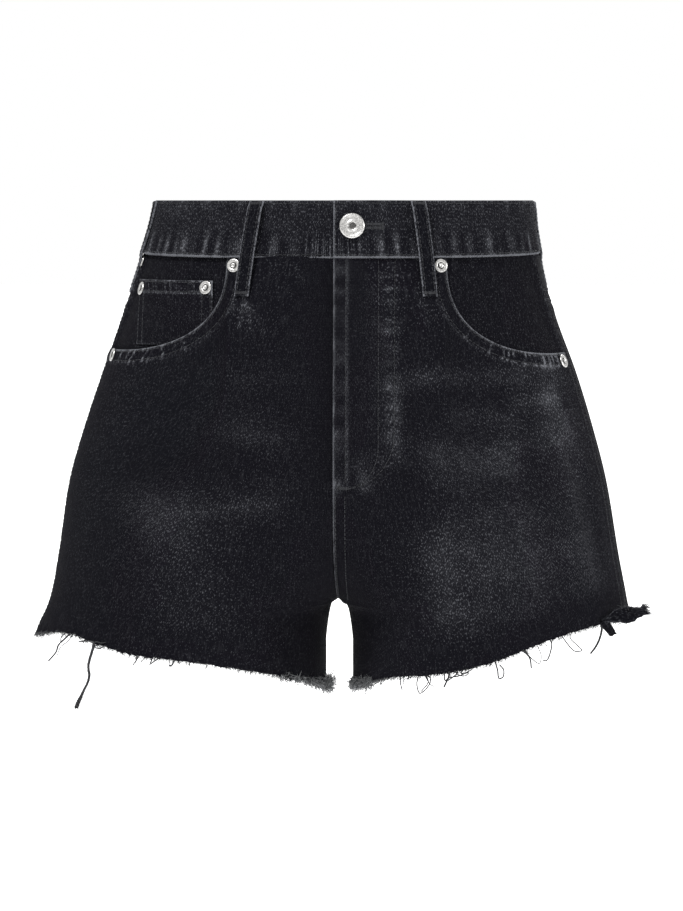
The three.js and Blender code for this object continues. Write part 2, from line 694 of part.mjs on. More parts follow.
// Turned metal parts stand on the cloth along its normal there
function turned(name, profile, sides, base, normal) {
  const points = profile.map(([r, h]) => new THREE.Vector2(r, h));
  const mesh = addMesh(name, new THREE.LatheGeometry(points, sides), METAL);
  mesh.position.copy(base);
  mesh.quaternion.setFromUnitVectors(new THREE.Vector3(0, 1, 0), normal);
}

function button() {
  const { x, z, radius, height } = BUTTON;
  const round = roundAtX(LEFT, x, z);
  const base = place(LEFT, round, z, BAND_OUT + bandStep(x) + SEAM_GAP);
  const profile = [
    [0, 0],
    [radius * 0.42, 0],
    [radius * 0.42, 0.8],
    [radius * 0.9, 1],
    [radius, 1.6],
    [radius * 0.96, height - 0.5],
    [radius * 0.86, height],
    [radius * 0.7, height - 0.35],
    [radius * 0.36, height - 0.5],
    [radius * 0.3, height - 0.1],
    [0, height - 0.1],
  ];
  turned('waist_button', profile, 24, base, skinNormal(LEFT, round, z));
}

function rivet({ name, half, x, z, seat }) {
  const round = roundAtX(half, x, z);
  const base = place(half, round, z, seat + SEAM_GAP);
  const r = RIVET_RADIUS;
  const profile = [
    [0, 0],
    [r, 0],
    [r, 0.5],
    [r * 0.82, 0.95],
    [r * 0.42, 0.85],
    [r * 0.3, 1.5],
    [0, 1.5],
  ];
  turned(name, profile, 12, base, skinNormal(half, round, z));
}

// A three-sided thread along a path, thinner towards its end
function strand(path) {
  const sides = 3;
  const positions = [];
  const last = path.length - 1;
  path.forEach((point, k) => {
    const ahead = path[Math.min(last, k + 1)].clone().sub(path[Math.max(0, k - 1)]).normalize();
    const sideways = new THREE.Vector3(0.3, 1, 0.1).cross(ahead).normalize();
    const other = ahead.clone().cross(sideways);
    const radius = mix(STRAND_ROOT, STRAND_TIP, k / last);
    for (let s = 0; s < sides; s += 1) {
      const angle = (2 * Math.PI * s) / sides;
      const corner = point.clone();
      corner.addScaledVector(sideways, radius * Math.cos(angle));
      corner.addScaledVector(other, radius * Math.sin(angle));
      positions.push(...corner.toArray());
    }
  });
  const triangles = [[0, 2, 1]];
  for (let k = 0; k < last; k += 1) {
    for (let s = 0; s < sides; s += 1) {
      const a = k * sides + s;
      const b = k * sides + ((s + 1) % sides);
      triangles.push([a, b, b + sides], [a, b + sides, a + sides]);
    }
  }
  triangles.push([last * sides, last * sides + 1, last * sides + 2]);
  return solidFrom(positions, triangles);
}

function toSolid(geometry) {
  const plain = geometry.clone();
  plain.deleteAttribute('normal');
  plain.deleteAttribute('uv');
  const merged = mergeVertices(plain);
  return new wasm.Manifold(new wasm.Mesh({
    numProp: 3,
    vertProperties: new Float32Array(merged.attributes.position.array),
    triVerts: new Uint32Array(merged.index.array),
  }));
}

function fromSolid(solid) {
  const { vertProperties, triVerts, numProp } = solid.getMesh();
  const positions = [];
  for (let i = 0; i < vertProperties.length; i += numProp) {
    positions.push(vertProperties[i], vertProperties[i + 1], vertProperties[i + 2]);
  }
  const geometry = new THREE.BufferGeometry();
  geometry.setAttribute('position', new THREE.Float32BufferAttribute(positions, 3));
  geometry.setIndex([...triVerts]);
  return geometry;
}

// Short strands between the long ones: their lengths and leanings follow two slow waves, so that
// no two neighbours match
function shortStrandSteps(count) {
  const length = 4.2 + 2.4 * Math.sin(count * 2.4) + 1.5 * Math.sin(count * 0.9 + 1);
  const lean = 1.6 * Math.sin(count * 1.7 + 0.4);
  return [[lean, -length]];
}

// A strand's path: rooted in the middle of the strip's wall, between two of the strip's stations, and
// then stepping aside and down from the strip's lower edge
function strandPath(half, round, steps, stations) {
  const k = stations.findIndex((station) => station > round);
  const [before, after] = [stations[k - 1], stations[k]];
  const onStrip = (above) => {
    const [a, b] = [before, after].map((at) => place(half, at, hemAt(half, at) + above, -CLOTH / 2));
    return a.lerp(b, (round - before) / (after - before));
  };
  const hem = hemAt(half, round);
  const sideways = bareSkin(half, after, hem).sub(bareSkin(half, before, hem)).setZ(0).normalize();
  const tip = onStrip(0);
  const path = [onStrip(FRAY_STRIP * 0.45)];
  for (const [aside, down] of steps) {
    tip.addScaledVector(sideways, aside);
    tip.z += down;
    path.push(tip.clone());
  }
  return path;
}

function hemFray(half) {
  const front = hemColumns(half, FRONT);
  const back = hemColumns(half, BACK).slice(1, -1).reverse();
  const stations = [...front, ...back];
  const point = (i, j, face) => {
    const round = stations[i];
    return place(half, round, hemAt(half, round) + FRAY_STRIP * (1 - j), -face * CLOTH);
  };
  let fray = toSolid(wall(stations.length, 1, point, true));
  const addStrand = (round, steps) => {
    fray = fray.add(toSolid(strand(strandPath(half, round, steps, [...stations, 4]))));
  };
  const threads = THREADS.filter((thread) => thread.half === half);
  const keepClear = 0.075;
  let count = half === RIGHT ? 0 : 5;
  let round = 0.04;
  while (round < 3.97) {
    const here = round;
    if (threads.every((thread) => Math.abs(thread.round - here) > keepClear)) {
      addStrand(round, shortStrandSteps(count));
    }
    const spacing = STRAND_SPACING * (1 + 0.25 * Math.sin(count * 1.3));
    round = walk(half, hemAt(half, round), round, spacing);
    count += 1;
  }
  threads.forEach((thread) => addStrand(thread.round, thread.steps));
  addMesh(`hem_fray_${SCOOPS[half].side}`, fromSolid(fray), DENIM_EDGE);
}

// The felled seam allowance's cut end, a stiff strip that leaves the cloth just before the side seam
function seamEnd() {
  const rows = 5;
  const { width, cloth, before, above, reach, depth, lift } = SEAM_END;
  const round = sideSeam(LEFT, CROTCH) - before;
  const root = place(LEFT, round, hemAt(LEFT, round) + above, SEAM_GAP + cloth / 2);
  const along = (t) => root.clone().add(new THREE.Vector3(reach * t, depth * t, lift * t * t));
  const point = (i, j, face) => {
    const t = j / rows;
    const ahead = along(t + 0.05).sub(along(t - 0.05)).normalize();
    const thick = new THREE.Vector3(ahead.y, -ahead.x, 0).normalize();
    const across = thick.clone().cross(ahead).normalize();
    const half = mix(width * 0.38, width * 0.55, t);
    return along(t).addScaledVector(across, half * (1 - i)).addScaledVector(thick, cloth * (0.5 - face));
  };
  addMesh('seam_end_left', wall(2, rows, point), DENIM_EDGE);
}

for (const half of [RIGHT, LEFT]) {
  frontPanel(half);
  backPanel(half);
  yoke(half);
  frontPocket(half);
  backPocket(half);
  hemFray(half);
}
waistband();
flyShield();
coinPocket();
LOOPS.forEach(beltLoop);
button();
RIVETS.forEach(rivet);
seamEnd();

export default group;
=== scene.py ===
# %% [markdown]
# Cut-off denim shorts, filled out as when worn.
#
# The real pair is sewn from washed black twill, and its legs were cut off with scissors, so the hems
# fray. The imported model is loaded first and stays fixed. Each of its cloth solids is then replaced by a
# finer shell with the same form, so the shorts keep their size and place while the seams, the creases,
# the wear and the loose yarns are added.
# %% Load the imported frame
import math
import bpy
import numpy as np
from mathutils import Matrix, Vector
from mathutils.bvhtree import BVHTree


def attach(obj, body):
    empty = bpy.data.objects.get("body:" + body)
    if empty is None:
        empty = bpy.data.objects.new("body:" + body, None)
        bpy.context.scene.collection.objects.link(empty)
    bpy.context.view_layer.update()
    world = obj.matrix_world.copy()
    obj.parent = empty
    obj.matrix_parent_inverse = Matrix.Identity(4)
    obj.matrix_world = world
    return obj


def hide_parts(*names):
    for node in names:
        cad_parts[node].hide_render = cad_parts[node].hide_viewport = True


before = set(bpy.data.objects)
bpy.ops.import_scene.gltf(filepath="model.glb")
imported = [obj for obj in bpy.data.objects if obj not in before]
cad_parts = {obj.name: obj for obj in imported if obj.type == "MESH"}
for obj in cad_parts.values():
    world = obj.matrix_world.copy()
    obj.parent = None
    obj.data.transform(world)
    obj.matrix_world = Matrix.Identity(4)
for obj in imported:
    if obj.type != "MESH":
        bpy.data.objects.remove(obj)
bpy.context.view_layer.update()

bpy.ops.object.select_all(action="DESELECT")

# %% [markdown]
# The camera stands level with the waistband's top edge, 2.45 m away and a touch to the wearer's left,
# with a long lens, as for a catalogue picture. A long lens keeps the two hips at the same size.
# %% Camera
AIM_HEIGHT, VIEW_DISTANCE = -0.1807, 2.45
VIEW_AIM = Vector((0.002, 0.0, AIM_HEIGHT))
VIEW_TURN = math.radians(2.2)
VIEW_TILT = math.asin(-AIM_HEIGHT / VIEW_DISTANCE)
FRAME_WIDTH = 683 * 0.00071
SENSOR = 36.0

level = math.cos(VIEW_TILT)
direction = Vector((math.sin(VIEW_TURN) * level, -math.cos(VIEW_TURN) * level, math.sin(VIEW_TILT)))
lens = bpy.data.cameras.new("camera")
lens.sensor_fit = "HORIZONTAL"
lens.sensor_width = SENSOR
lens.lens = SENSOR * VIEW_DISTANCE / FRAME_WIDTH
lens.clip_end = 50
camera = bpy.data.objects.new("camera", lens)
camera.location = VIEW_AIM + direction * VIEW_DISTANCE
camera.rotation_euler = (-direction).to_track_quat("-Z", "Y").to_euler()
bpy.context.collection.objects.link(camera)
bpy.context.scene.camera = camera
print("lens", round(lens.lens, 1), "mm at", [round(v, 3) for v in camera.location])

# %% [markdown]
# The studio is a white sweep with soft light all round. One broad lamp from the upper left and a weaker
# one from the right give the folds their shape. The floor lies well below the legs, because the shorts
# are held up at the waist, so no shadow falls beside them.
# %% Studio light and floor
FLOOR_LEVEL = -0.8
WHITE = (1, 1, 1, 1)


def soft_lamp(name, place, size, watts):
    lamp = bpy.data.lights.new(name, "AREA")
    lamp.shape, lamp.size, lamp.energy = "DISK", size, watts
    holder = bpy.data.objects.new(name, lamp)
    holder.location = place
    holder.rotation_euler = (VIEW_AIM - Vector(place)).to_track_quat("-Z", "Y").to_euler()
    bpy.context.collection.objects.link(holder)


soft_lamp("key lamp", (-0.9, -1.5, 1.9), 0.7, 120)
soft_lamp("side lamp", (2.2, -0.5, 0.3), 0.7, 40)
soft_lamp("back lamp", (0.6, 2.2, 1.2), 1.2, 90)
world = bpy.data.worlds.new("white studio")
bpy.context.scene.world = world
world.use_nodes = True
world.node_tree.nodes["Background"].inputs["Color"].default_value = WHITE
world.node_tree.nodes["Background"].inputs["Strength"].default_value = 1.0
bpy.context.scene.view_settings.view_transform = "Standard"

bpy.ops.mesh.primitive_plane_add(size=60, location=(0, 0, FLOOR_LEVEL))
floor = bpy.context.object
floor.name = "floor"
bpy.ops.object.transform_apply(location=True, rotation=True, scale=True)
floor.select_set(False)
paper = bpy.data.materials.new("white paper")
paper.use_nodes = True
for socket, value in (
    ("Base Color", WHITE), ("Roughness", 1.0), ("Emission Color", WHITE), ("Emission Strength", 0.7),
):
    paper.node_tree.nodes["Principled BSDF"].inputs[socket].default_value = value
floor.data.materials.append(paper)
print("floor at", FLOOR_LEVEL)

# %% [markdown]
# The worn form. A pattern cutter thinks of the body as a stack of level sections, and so does this
# table. At each height it gives the half widths, the depths to the front and back, where the high line
# of the thigh and of the seat runs, and where each side seam runs. All lengths here are in millimetres,
# and become metres when a mesh is made. A place on the form is a half, a place round it (0 and 4 are
# the inseam or the centre, 1 the front, 2 the side, 3 the back) and a height z.
# %% Sections of the worn form
MM = 0.001
RIGHT, LEFT = -1, 1
CLOTH, SEAM_GAP, EDGE = 1.2, 0.3, 0.001
CROTCH, SIDE_TURN, INSEAM_Y = -283.0, -238.0, 17.0
FRONT_RISE_CURVE, BACK_RISE_CURVE = 65.0, 110.0
LEG_GAP, LEG_GAP_HEIGHT, LEG_GAP_POWER = 9.6, 30.0, 0.3
QUARTER = math.pi / 2

SECTION_COLUMNS = ("z", "right", "left", "front", "back", "thigh", "seat", "right_y", "left_y")
SECTIONS = [
    (0, 128.6, 136.6, 93, 94, 16, 24, -8, -25),
    (-18, 132, 138, 95, 98, 18, 26, -9, -25),
    (-38, 138, 141.5, 97, 102, 20, 28, -11, -25),
    (-60, 145.3, 146.5, 99, 109, 26, 34, -15, -25),
    (-87, 155, 155.3, 101, 117, 34, 42, -12, -26),
    (-121, 166.8, 168, 104, 125, 46, 54, -6, -27),
    (-160, 180, 180, 106, 128.5, 60, 66, -4, -28),
    (-198, 190.8, 189.8, 107, 127, 74, 78, -4, -29),
    (-249, 198.7, 198.5, 105, 119, 90, 92, -4, -31),
    (-283, 205.5, 205, 101, 111, 98, 100, -4, -31),
    (-310, 217, 209, 98, 105, 103, 104, -4, -31),
    (-356, 225, 214, 95, 100, 106, 107, -4, -31),
]
# The cut hem: place round the leg, height on the right leg, height on the left leg
HEM = [
    (0, -347, -347), (0.3, -337.5, -338), (0.55, -329, -330), (0.75, -322.5, -326),
    (0.9, -318, -321.5), (1.05, -315, -315), (1.2, -312.5, -306), (1.35, -307, -299),
    (1.55, -301, -294), (1.8, -304.5, -292), (2, -309, -291.5), (2.4, -312, -297),
    (2.8, -322, -312), (3.2, -335, -330), (3.6, -351, -351), (4, -347, -347),
]


def mix(a, b, t):
    return a + (b - a) * t


def ease(t):
    t = np.clip(t, 0, 1)
    return t * t * (3 - 2 * t)


def bell(off, width, power=2):
    """1 at 0, fading to nothing beyond a width."""
    return np.exp(-((off / width) ** power))


def through(key, value, at):
    """A smooth curve through values at rising keys."""
    i = np.clip(np.searchsorted(key, at) - 1, 0, len(key) - 2)
    low, high = np.maximum(np.arange(len(key)) - 1, 0), np.minimum(np.arange(len(key)) + 1, len(key) - 1)
    slope = ((value[high] - value[low]).T / (key[high] - key[low])).T
    span = key[i + 1] - key[i]
    t = np.clip((at - key[i]) / span, 0, 1)
    if value.ndim > 1:
        span, t = span[:, None], t[:, None]
    flat = value[i] * (2 * t**3 - 3 * t**2 + 1) + value[i + 1] * (3 * t**2 - 2 * t**3)
    return flat + span * (slope[i] * (t**3 - 2 * t**2 + t) + slope[i + 1] * (t**3 - t**2))


def section(column, z):
    table = np.array(SECTIONS, float)
    return through(-table[:, 0], table[:, SECTION_COLUMNS.index(column)], -np.asarray(z, float))


def of_half(half, z, right, left):
    return np.where(np.asarray(half) < 0, section(right, z), section(left, z))


def soft_clamp(t, nearness):
    """Holds t between 0 and 1, turning softly at 1 except close to the centre seams."""
    w = 0.004 + 0.13 * ease((1 - np.abs(nearness)) / 0.08)
    turned = 1 - (1 + w - t) ** 2 / (4 * w)
    return np.clip(np.where(t < 1 - w, t, np.where(t > 1 + w, 1, turned)), 0, 1)


def leg_gap(z):
    """Half the gap between the legs at a height."""
    below = np.clip((CROTCH - np.asarray(z, float)) / LEG_GAP_HEIGHT, 0, 1)
    return np.maximum(SEAM_GAP / 2, LEG_GAP * below**LEG_GAP_POWER)


def skin(half, around, z):
    """A point of the form's outer face without folds, n x 3."""
    half, around, z = np.broadcast_arrays(np.asarray(half, float), np.asarray(around, float), z)
    z = np.asarray(z, float)
    width, inner = of_half(half, z, "right", "left"), leg_gap(z)
    front, back, thigh, seat = (section(c, z) for c in ("front", "back", "thigh", "seat"))
    c0, c3 = np.cos(QUARTER * around), np.sin(QUARTER * (around - 3))
    turn = QUARTER * (around - 1)
    rise_front = soft_clamp((CROTCH + FRONT_RISE_CURVE - z) / FRONT_RISE_CURVE, c0)
    rise_back = soft_clamp((CROTCH + BACK_RISE_CURVE - z) / BACK_RISE_CURVE, c3)
    front_arc = np.sqrt(np.maximum(0, 1 - (rise_front * c0) ** 2))
    back_arc = np.sqrt(np.maximum(0, 1 - (rise_back * c3) ** 2))
    where = [around <= 1, around <= 2, around <= 3]
    x = np.select(where, [
        thigh - (thigh - inner) * c0,
        thigh + (width - thigh) * np.sin(turn),
        seat + (width - seat) * np.cos(turn - QUARTER),
    ], seat - (seat - inner) * c3)
    y = np.select(where, [
        INSEAM_Y - (front + INSEAM_Y) * front_arc,
        -front * np.cos(turn),
        back * np.sin(turn - QUARTER),
    ], INSEAM_Y + (back - INSEAM_Y) * back_arc)
    return np.stack([half * x, y, z], -1)


def unit(way):
    return way / (np.linalg.norm(way, axis=-1, keepdims=True) + 1e-9)


def outward(half, around, z):
    """The form's outward direction there."""
    step, drop = 0.03, 0.6
    along = skin(half, np.minimum(4, around + step), z) - skin(half, np.maximum(0, around - step), z)
    down = skin(half, around, z - drop) - skin(half, around, z + drop)
    return unit(np.cross(along, down) * -np.asarray(half, float)[..., None])


def hem_at(half, around):
    key, right, left = np.array(HEM, float).T
    around = np.asarray(around, float)
    return np.where(np.asarray(half) < 0, through(key, right, around), through(key, left, around))


def round_at_x(half, x, z):
    """The place round a half where the front has a given x."""
    thigh, width = section("thigh", z), of_half(half, z, "right", "left")
    near = np.arccos(np.clip((thigh - x) / (thigh - leg_gap(z)), 0, 1)) / QUARTER
    far = 1 + np.arcsin(np.clip((x - thigh) / (width - thigh), 0, 1)) / QUARTER
    return np.where(x <= thigh, near, far)


def side_seam(half, z):
    reach = np.clip(-of_half(half, z, "right_y", "left_y") / section("front", z), 0, 1)
    return 1 + np.arccos(reach) / QUARTER


waist = skin(np.array([RIGHT, LEFT]), 2.0, 0.0)
print("waist at the top edge is", round(float(waist[1, 0] - waist[0, 0]), 1), "mm wide")

# %% [markdown]
# Folds. Worn cloth creases across the front of the hips where the legs bend, and sags in long hollows
# under the seat. The large folds are in the solids too. The small ones are pinched here, each
# as a line with a width and a height, uneven as on the real pair.
# %% Folds and creases
# place round, z, to round, to z, width, rise
FOLDS = {
    RIGHT: [
        (0.9, -116, 1.75, -122, 13, 1.5), (1.0, -139, 1.7, -143, 11, -1.5),
        (0.7, -158, 1.7, -162, 14, 1.7), (0.6, -182, 1.6, -186, 13, -1.9),
        (0.7, -208, 1.75, -199, 15, 2.2), (0.5, -246, 1.1, -224, 15, -2.2),
        (3.1, -262, 2.3, -250, 16, -2.2), (3.5, -225, 2.9, -262, 14, 1.8),
    ],
    LEFT: [
        (0.9, -121, 1.75, -115, 13, 1.6), (1.0, -143, 1.75, -138, 10, -1.4),
        (0.8, -172, 1.7, -164, 13, 2), (0.5, -201, 1.35, -185, 15, -2.6),
        (0.9, -246, 1.6, -240, 17, 2.2), (1.62, -156, 1.68, -262, 9, -2.4),
        (3.2, -268, 2.4, -258, 15, -2), (3.5, -218, 2.8, -254, 16, 1.9),
    ],
}
FOLD_END = 0.06
# Small creases on the fronts, by the distance x from the centre: x, z, to x, to z, width, rise
FRONT_CREASES = {
    RIGHT: [
        (70, -62, 62, -84, 2.2, 0.5), (64, -66, 74, -88, 2.0, 0.45), (58, -70, 48, -86, 2.4, 0.5),
        (96, -128, 40, -124, 4.0, 0.55), (118, -132, 74, -134, 3.6, -0.5), (30, -130, 88, -150, 5.0, -0.5),
        (18, -158, 66, -168, 4.4, 0.5), (120, -170, 70, -172, 4.0, 0.45), (20, -200, 96, -214, 6.0, 0.7),
        (100, -192, 150, -186, 4.5, -0.5), (12, -236, 60, -222, 5.0, -0.7), (150, -226, 176, -250, 7.0, -0.9),
        (60, -250, 96, -262, 8.0, 0.5), (14, -262, 40, -252, 5.0, 0.6),
    ],
    LEFT: [
        (54, -124, 112, -121, 4.0, 0.6), (84, -132, 132, -128, 3.4, -0.5), (56, -146, 110, -150, 4.4, 0.45),
        (120, -140, 152, -134, 4.0, 0.6), (60, -180, 118, -176, 4.2, 0.6), (118, -180, 156, -170, 3.4, -0.6),
        (128, -190, 160, -186, 3.0, 0.45), (24, -206, 70, -212, 6.5, -0.8), (60, -222, 110, -214, 5.0, 0.4),
        (14, -232, 50, -240, 5.0, 0.7), (10, -262, 44, -256, 6.0, -0.7), (110, -262, 150, -258, 6.0, 0.4),
        (150, -214, 170, -276, 5.0, 0.7), (168, -204, 184, -270, 4.0, -0.8), (8, -71, 40, -69, 4.0, 0.5),
        (12, -84, 44, -80, 4.0, 0.55), (6, -101, 42, -97, 4.6, 0.6), (20, -120, 46, -122, 4.0, -0.5),
        (10, -143, 46, -141, 4.6, 0.6), (22, -160, 42, -162, 4.0, -0.4), (8, -176, 40, -174, 5.0, 0.6),
    ],
}
# Small creases on the backs: place round, z, to round, to z, width, rise
BACK_CREASES = {
    RIGHT: [
        (3.7, -236, 3.2, -262, 6, 0.8), (3.75, -252, 3.35, -278, 5, -0.8), (3.3, -246, 2.8, -268, 6, 0.6),
        (2.7, -282, 2.25, -276, 7, -0.7), (2.2, -180, 2.45, -196, 6, 0.6), (3.85, -206, 3.6, -228, 5, 0.7),
        (2.15, -226, 2.5, -240, 5, -0.6), (3.5, -292, 3.1, -306, 8, 0.6),
    ],
    LEFT: [
        (3.72, -240, 3.25, -258, 6, 0.8), (3.8, -256, 3.4, -284, 5, -0.7), (3.25, -250, 2.75, -262, 5, 0.7),
        (2.65, -276, 2.2, -268, 7, -0.8), (2.1, -186, 2.5, -200, 5, 0.7), (3.88, -200, 3.65, -222, 5, 0.6),
        (2.2, -232, 2.6, -238, 6, -0.6), (3.55, -298, 3.15, -310, 8, 0.5),
    ],
}


def lines_on_form(table, by_x=False):
    """The lines of a table as half, start point, end point, width and strength."""
    lines = []
    for half, rows in table.items():
        for a, z, b, to_z, width, strength in rows:
            if by_x:
                a, b = round_at_x(half, a, z), round_at_x(half, b, to_z)
            lines.append((half, skin(half, a, float(z)), skin(half, b, float(to_z)), width, strength))
    return lines


def from_line(points, a, b):
    """How far points lie from a straight line, and their share of the way along it."""
    along = b - a
    t = np.clip((points - a) @ along / (along @ along), 0, 1)
    return np.linalg.norm(points - (a + t[..., None] * along), axis=-1), t


CREASE_LINES = [(*line, FOLD_END) for line in lines_on_form(FOLDS)]
CREASE_LINES += [(*line, 0.0) for line in lines_on_form(FRONT_CREASES, True) + lines_on_form(BACK_CREASES)]


def fold_rise(half, around, z):
    here = skin(half, around, z)
    rise = np.zeros(here.shape[:-1])
    for side, a, b, width, height, end in CREASE_LINES:
        off, t = from_line(here, a, b)
        fullness = np.sin(np.pi * mix(end, 1 - end, t))
        rise += np.where(np.asarray(half) == side, height * fullness * bell(off, width), 0)
    return rise


def ripple(s, length, seed):
    """An uneven wave along a seam, as sewn cloth puckers, from about -1 to 1."""
    turn = 2 * math.pi * np.asarray(s) / length
    slow = np.sin(turn * 0.31 + seed * 2.1)
    return 0.6 * np.sin(turn + 1.9 * slow + seed) + 0.4 * np.sin(turn * 1.73 + seed * 3.7)


print("creases", len(CREASE_LINES))

# %% [markdown]
# Seam lines. Every seam, folded edge and pocket line is kept as a string of points on the form. A
# panel can then be thickened beside a seam, puckered along it and rubbed pale on it, and the stitches
# are laid along the same strings.
# %% Seam lines
BAND_FRONT, BAND_SIDE = -39.4, -37.3
FLY_END, FLY_STEP, FLY_EASE, FLY_FADE = -197.0, 1.3, 34.0, 24.0
FLY_ROW, FLY_TURN, FLY_DROP = 41.0, -158, 38
SCOOP_POWER, SCOOP_SPACING = 2.3, 1.7
SCOOPS = {RIGHT: ("right", 73.0, -104.0, -2.95), LEFT: ("left", 77.0, -106.0, -1.9)}
YOKE_SIDE, YOKE_CENTRE = 33.0, 60.0
FRONT_INNER, FRONT_MIDDLE, FRONT_POCKET = 6, 3, 10
BACK_INNER, BACK_OUTER = 6, 10


def band_bottom(around):
    around = np.asarray(around, float)
    frontness = np.where(around <= 1, 1.0, np.maximum(0, np.cos(QUARTER * (around - 1))))
    return mix(BAND_SIDE, BAND_FRONT, frontness)


def fly_step(half, x, z):
    """How far the two fronts step out and in beside the fly, the wearer's left over the right."""
    fade = ease((np.asarray(z) - FLY_END + FLY_FADE) / FLY_FADE)
    return half * FLY_STEP * (1 - ease(x / FLY_EASE)) * fade


def scoop_line(half, start, bottom, power, turn):
    """A scooped pocket line, from 0 under the waistband to 1 at the side seam, as round and z."""
    turn = np.asarray(turn, float)
    angle = QUARTER * (1 - (1 - turn) ** SCOOP_SPACING)
    top = band_bottom(round_at_x(half, start, BAND_SIDE)) - SEAM_GAP
    z = mix(top, bottom, np.sin(angle) ** (2 / power))
    seam = side_seam(half, z)
    seam_x = half * skin(half, seam, z)[..., 0]
    x = seam_x - (seam_x - start) * np.cos(angle) ** (2 / power)
    return np.where(turn >= 1, seam, round_at_x(half, x, z)), z


def back_round(half, i, z):
    """A column of the back and yoke: 0 at the centre, 6 at the seat's high line, 16 at the side."""
    i = np.asarray(i, float)
    inner = np.minimum(4 - EDGE, 4 - i / BACK_INNER)
    outer = mix(3, side_seam(half, z) + EDGE, (i - BACK_INNER) / BACK_OUTER)
    return np.where(i <= BACK_INNER, inner, outer)


def yoke_level(half, around):
    """The height of the yoke's seam at a place round the back."""
    seam = side_seam(half, BAND_SIDE)
    return BAND_SIDE - mix(YOKE_SIDE, YOKE_CENTRE, np.clip((around - seam) / (4 - seam), 0, 1))


def yoke_line(half, i):
    return yoke_level(half, back_round(half, i, BAND_SIDE))


def string_of(half, around, z):
    """A seam line: its places and its points on the bare form."""
    around, z = np.broadcast_arrays(np.asarray(around, float), np.asarray(z, float))
    return {"round": around, "z": z, "points": skin(half, around, z)}


def beside(points, seam):
    """How far points lie from a seam line, and how far along it."""
    line = seam["points"]
    best, along, gone = np.full(points.shape[:-1], 1e9), np.zeros(points.shape[:-1]), 0.0
    for a, b in zip(line[:-1], line[1:]):
        size = float(np.linalg.norm(b - a))
        if size < 1e-6:
            continue
        off, t = from_line(points, a, b)
        along = np.where(off < best, gone + t * size, along)
        best = np.minimum(off, best)
        gone += size
    return best, along


SEAMS = {}
for half in (RIGHT, LEFT):
    side, start, bottom, facing_out = SCOOPS[half]
    columns = np.linspace(0, BACK_INNER + BACK_OUTER, 60)
    yoke_z = yoke_line(half, columns)
    places = np.linspace(EDGE, 4 - EDGE, 160)
    side_z = np.linspace(BAND_SIDE, float(hem_at(half, 1.95)), 60)
    for name, around, z in (
        ("scoop", *scoop_line(half, start, bottom, SCOOP_POWER, np.linspace(0, 1, 48))),
        ("side", side_seam(half, side_z), side_z),
        ("centre", EDGE, np.linspace(BAND_FRONT, CROTCH, 70)),
        ("yoke", back_round(half, columns, yoke_z), yoke_z),
        ("rise", 4 - EDGE, np.linspace(float(yoke_line(half, 0)), CROTCH, 60)),
        ("inseam", EDGE, np.linspace(CROTCH, -346, 14)),
        ("band", places, band_bottom(places)),
        ("hem", places, hem_at(half, places)),
    ):
        SEAMS[name, half] = string_of(half, around, z)
# The fly's curved row, from under the waistband down to the end of the fly
turn = np.linspace(0, QUARTER, 22)[1:]
fly_x = np.concatenate([np.full(24, FLY_ROW), 3 + FLY_DROP * np.cos(turn) ** 0.85])
fly_z = np.concatenate([np.linspace(BAND_FRONT, FLY_TURN, 24), FLY_TURN - FLY_DROP * np.sin(turn)])
SEAMS["fly", LEFT] = string_of(LEFT, round_at_x(LEFT, fly_x, fly_z), fly_z)
print("seam lines", len(SEAMS))

# %% [markdown]
# Fades. Black denim goes grey where it rubs: on the high folds, down the front of each thigh, round the
# pockets and on every seam's edge. Each fade is a soft stroke in a table, as a finisher brushes them on.
# On the fronts some strokes are also painted light on fold crests and painted shade in fold hollows. The
# strokes set a value called wear at every point of the cloth, which the dye then follows, so that value is
# partly real wear and partly painted light and shade.
# %% Wear and painted fold light and shade
# x, z, to x, to z, width, strength
FRONT_FADES_AND_FOLD_LIGHT = {
    RIGHT: [
        (110, -119, 24, -121, 7, 0.1), (96, -160, 28, -162, 8, 0.12), (146, -130, 176, -250, 26, 0.12),
        (140, -206, 44, -208, 13, 0.22), (112, -226, 96, -286, 34, 0.28), (60, -130, 40, -190, 18, 0.12),
        (120, -222, 70, -230, 16, 0.2), (70, -68, 60, -84, 7, 0.16), (84, -140, 66, -150, 14, 0.18),
        (61, -68, 64, -86, 2.2, 0.5), (59, -70, 56, -88, 2.0, 0.45), (57, -71, 46, -90, 2.0, 0.36),
        (27, -43, 20, -55, 2.0, 0.3), (44, -42, 39, -52, 2.0, 0.3),
    ],
    LEFT: [
        (58, -121, 126, -121, 9, 0.4), (84, -145, 120, -147, 9, 0.28), (126, -139, 152, -136, 7, 0.3),
        (66, -172, 120, -174, 12, 0.3), (72, -188, 124, -184, 8, 0.24), (92, -206, 100, -282, 38, 0.32),
        (132, -216, 142, -272, 26, 0.26), (70, -236, 78, -282, 16, 0.26), (120, -166, 156, -160, 14, 0.22),
        (146, -116, 180, -256, 24, 0.5), (32, -60, 34, -160, 10, 0.2), (18, -182, 24, -196, 8, 0.3),
        (44, -130, 44, -176, 5, 0.28), (58, -62, 66, -80, 6, 0.28),
    ],
}
# place round, z, to round, to z, width, strength
BACK_FADES = {
    RIGHT: [
        (3.3, -110, 2.9, -190, 34, 0.36), (3.5, -240, 2.9, -264, 11, 0.34),
        (3.2, -286, 2.8, -300, 22, 0.2), (2.3, -140, 2.3, -190, 18, 0.18),
    ],
    LEFT: [
        (3.3, -112, 2.95, -192, 34, 0.34), (3.5, -236, 2.9, -258, 11, 0.36),
        (3.2, -284, 2.8, -302, 22, 0.22), (2.35, -144, 2.3, -196, 18, 0.18),
    ],
}
FADE_AND_FOLD_LIGHT_LINES = lines_on_form(FRONT_FADES_AND_FOLD_LIGHT, True) + lines_on_form(BACK_FADES)


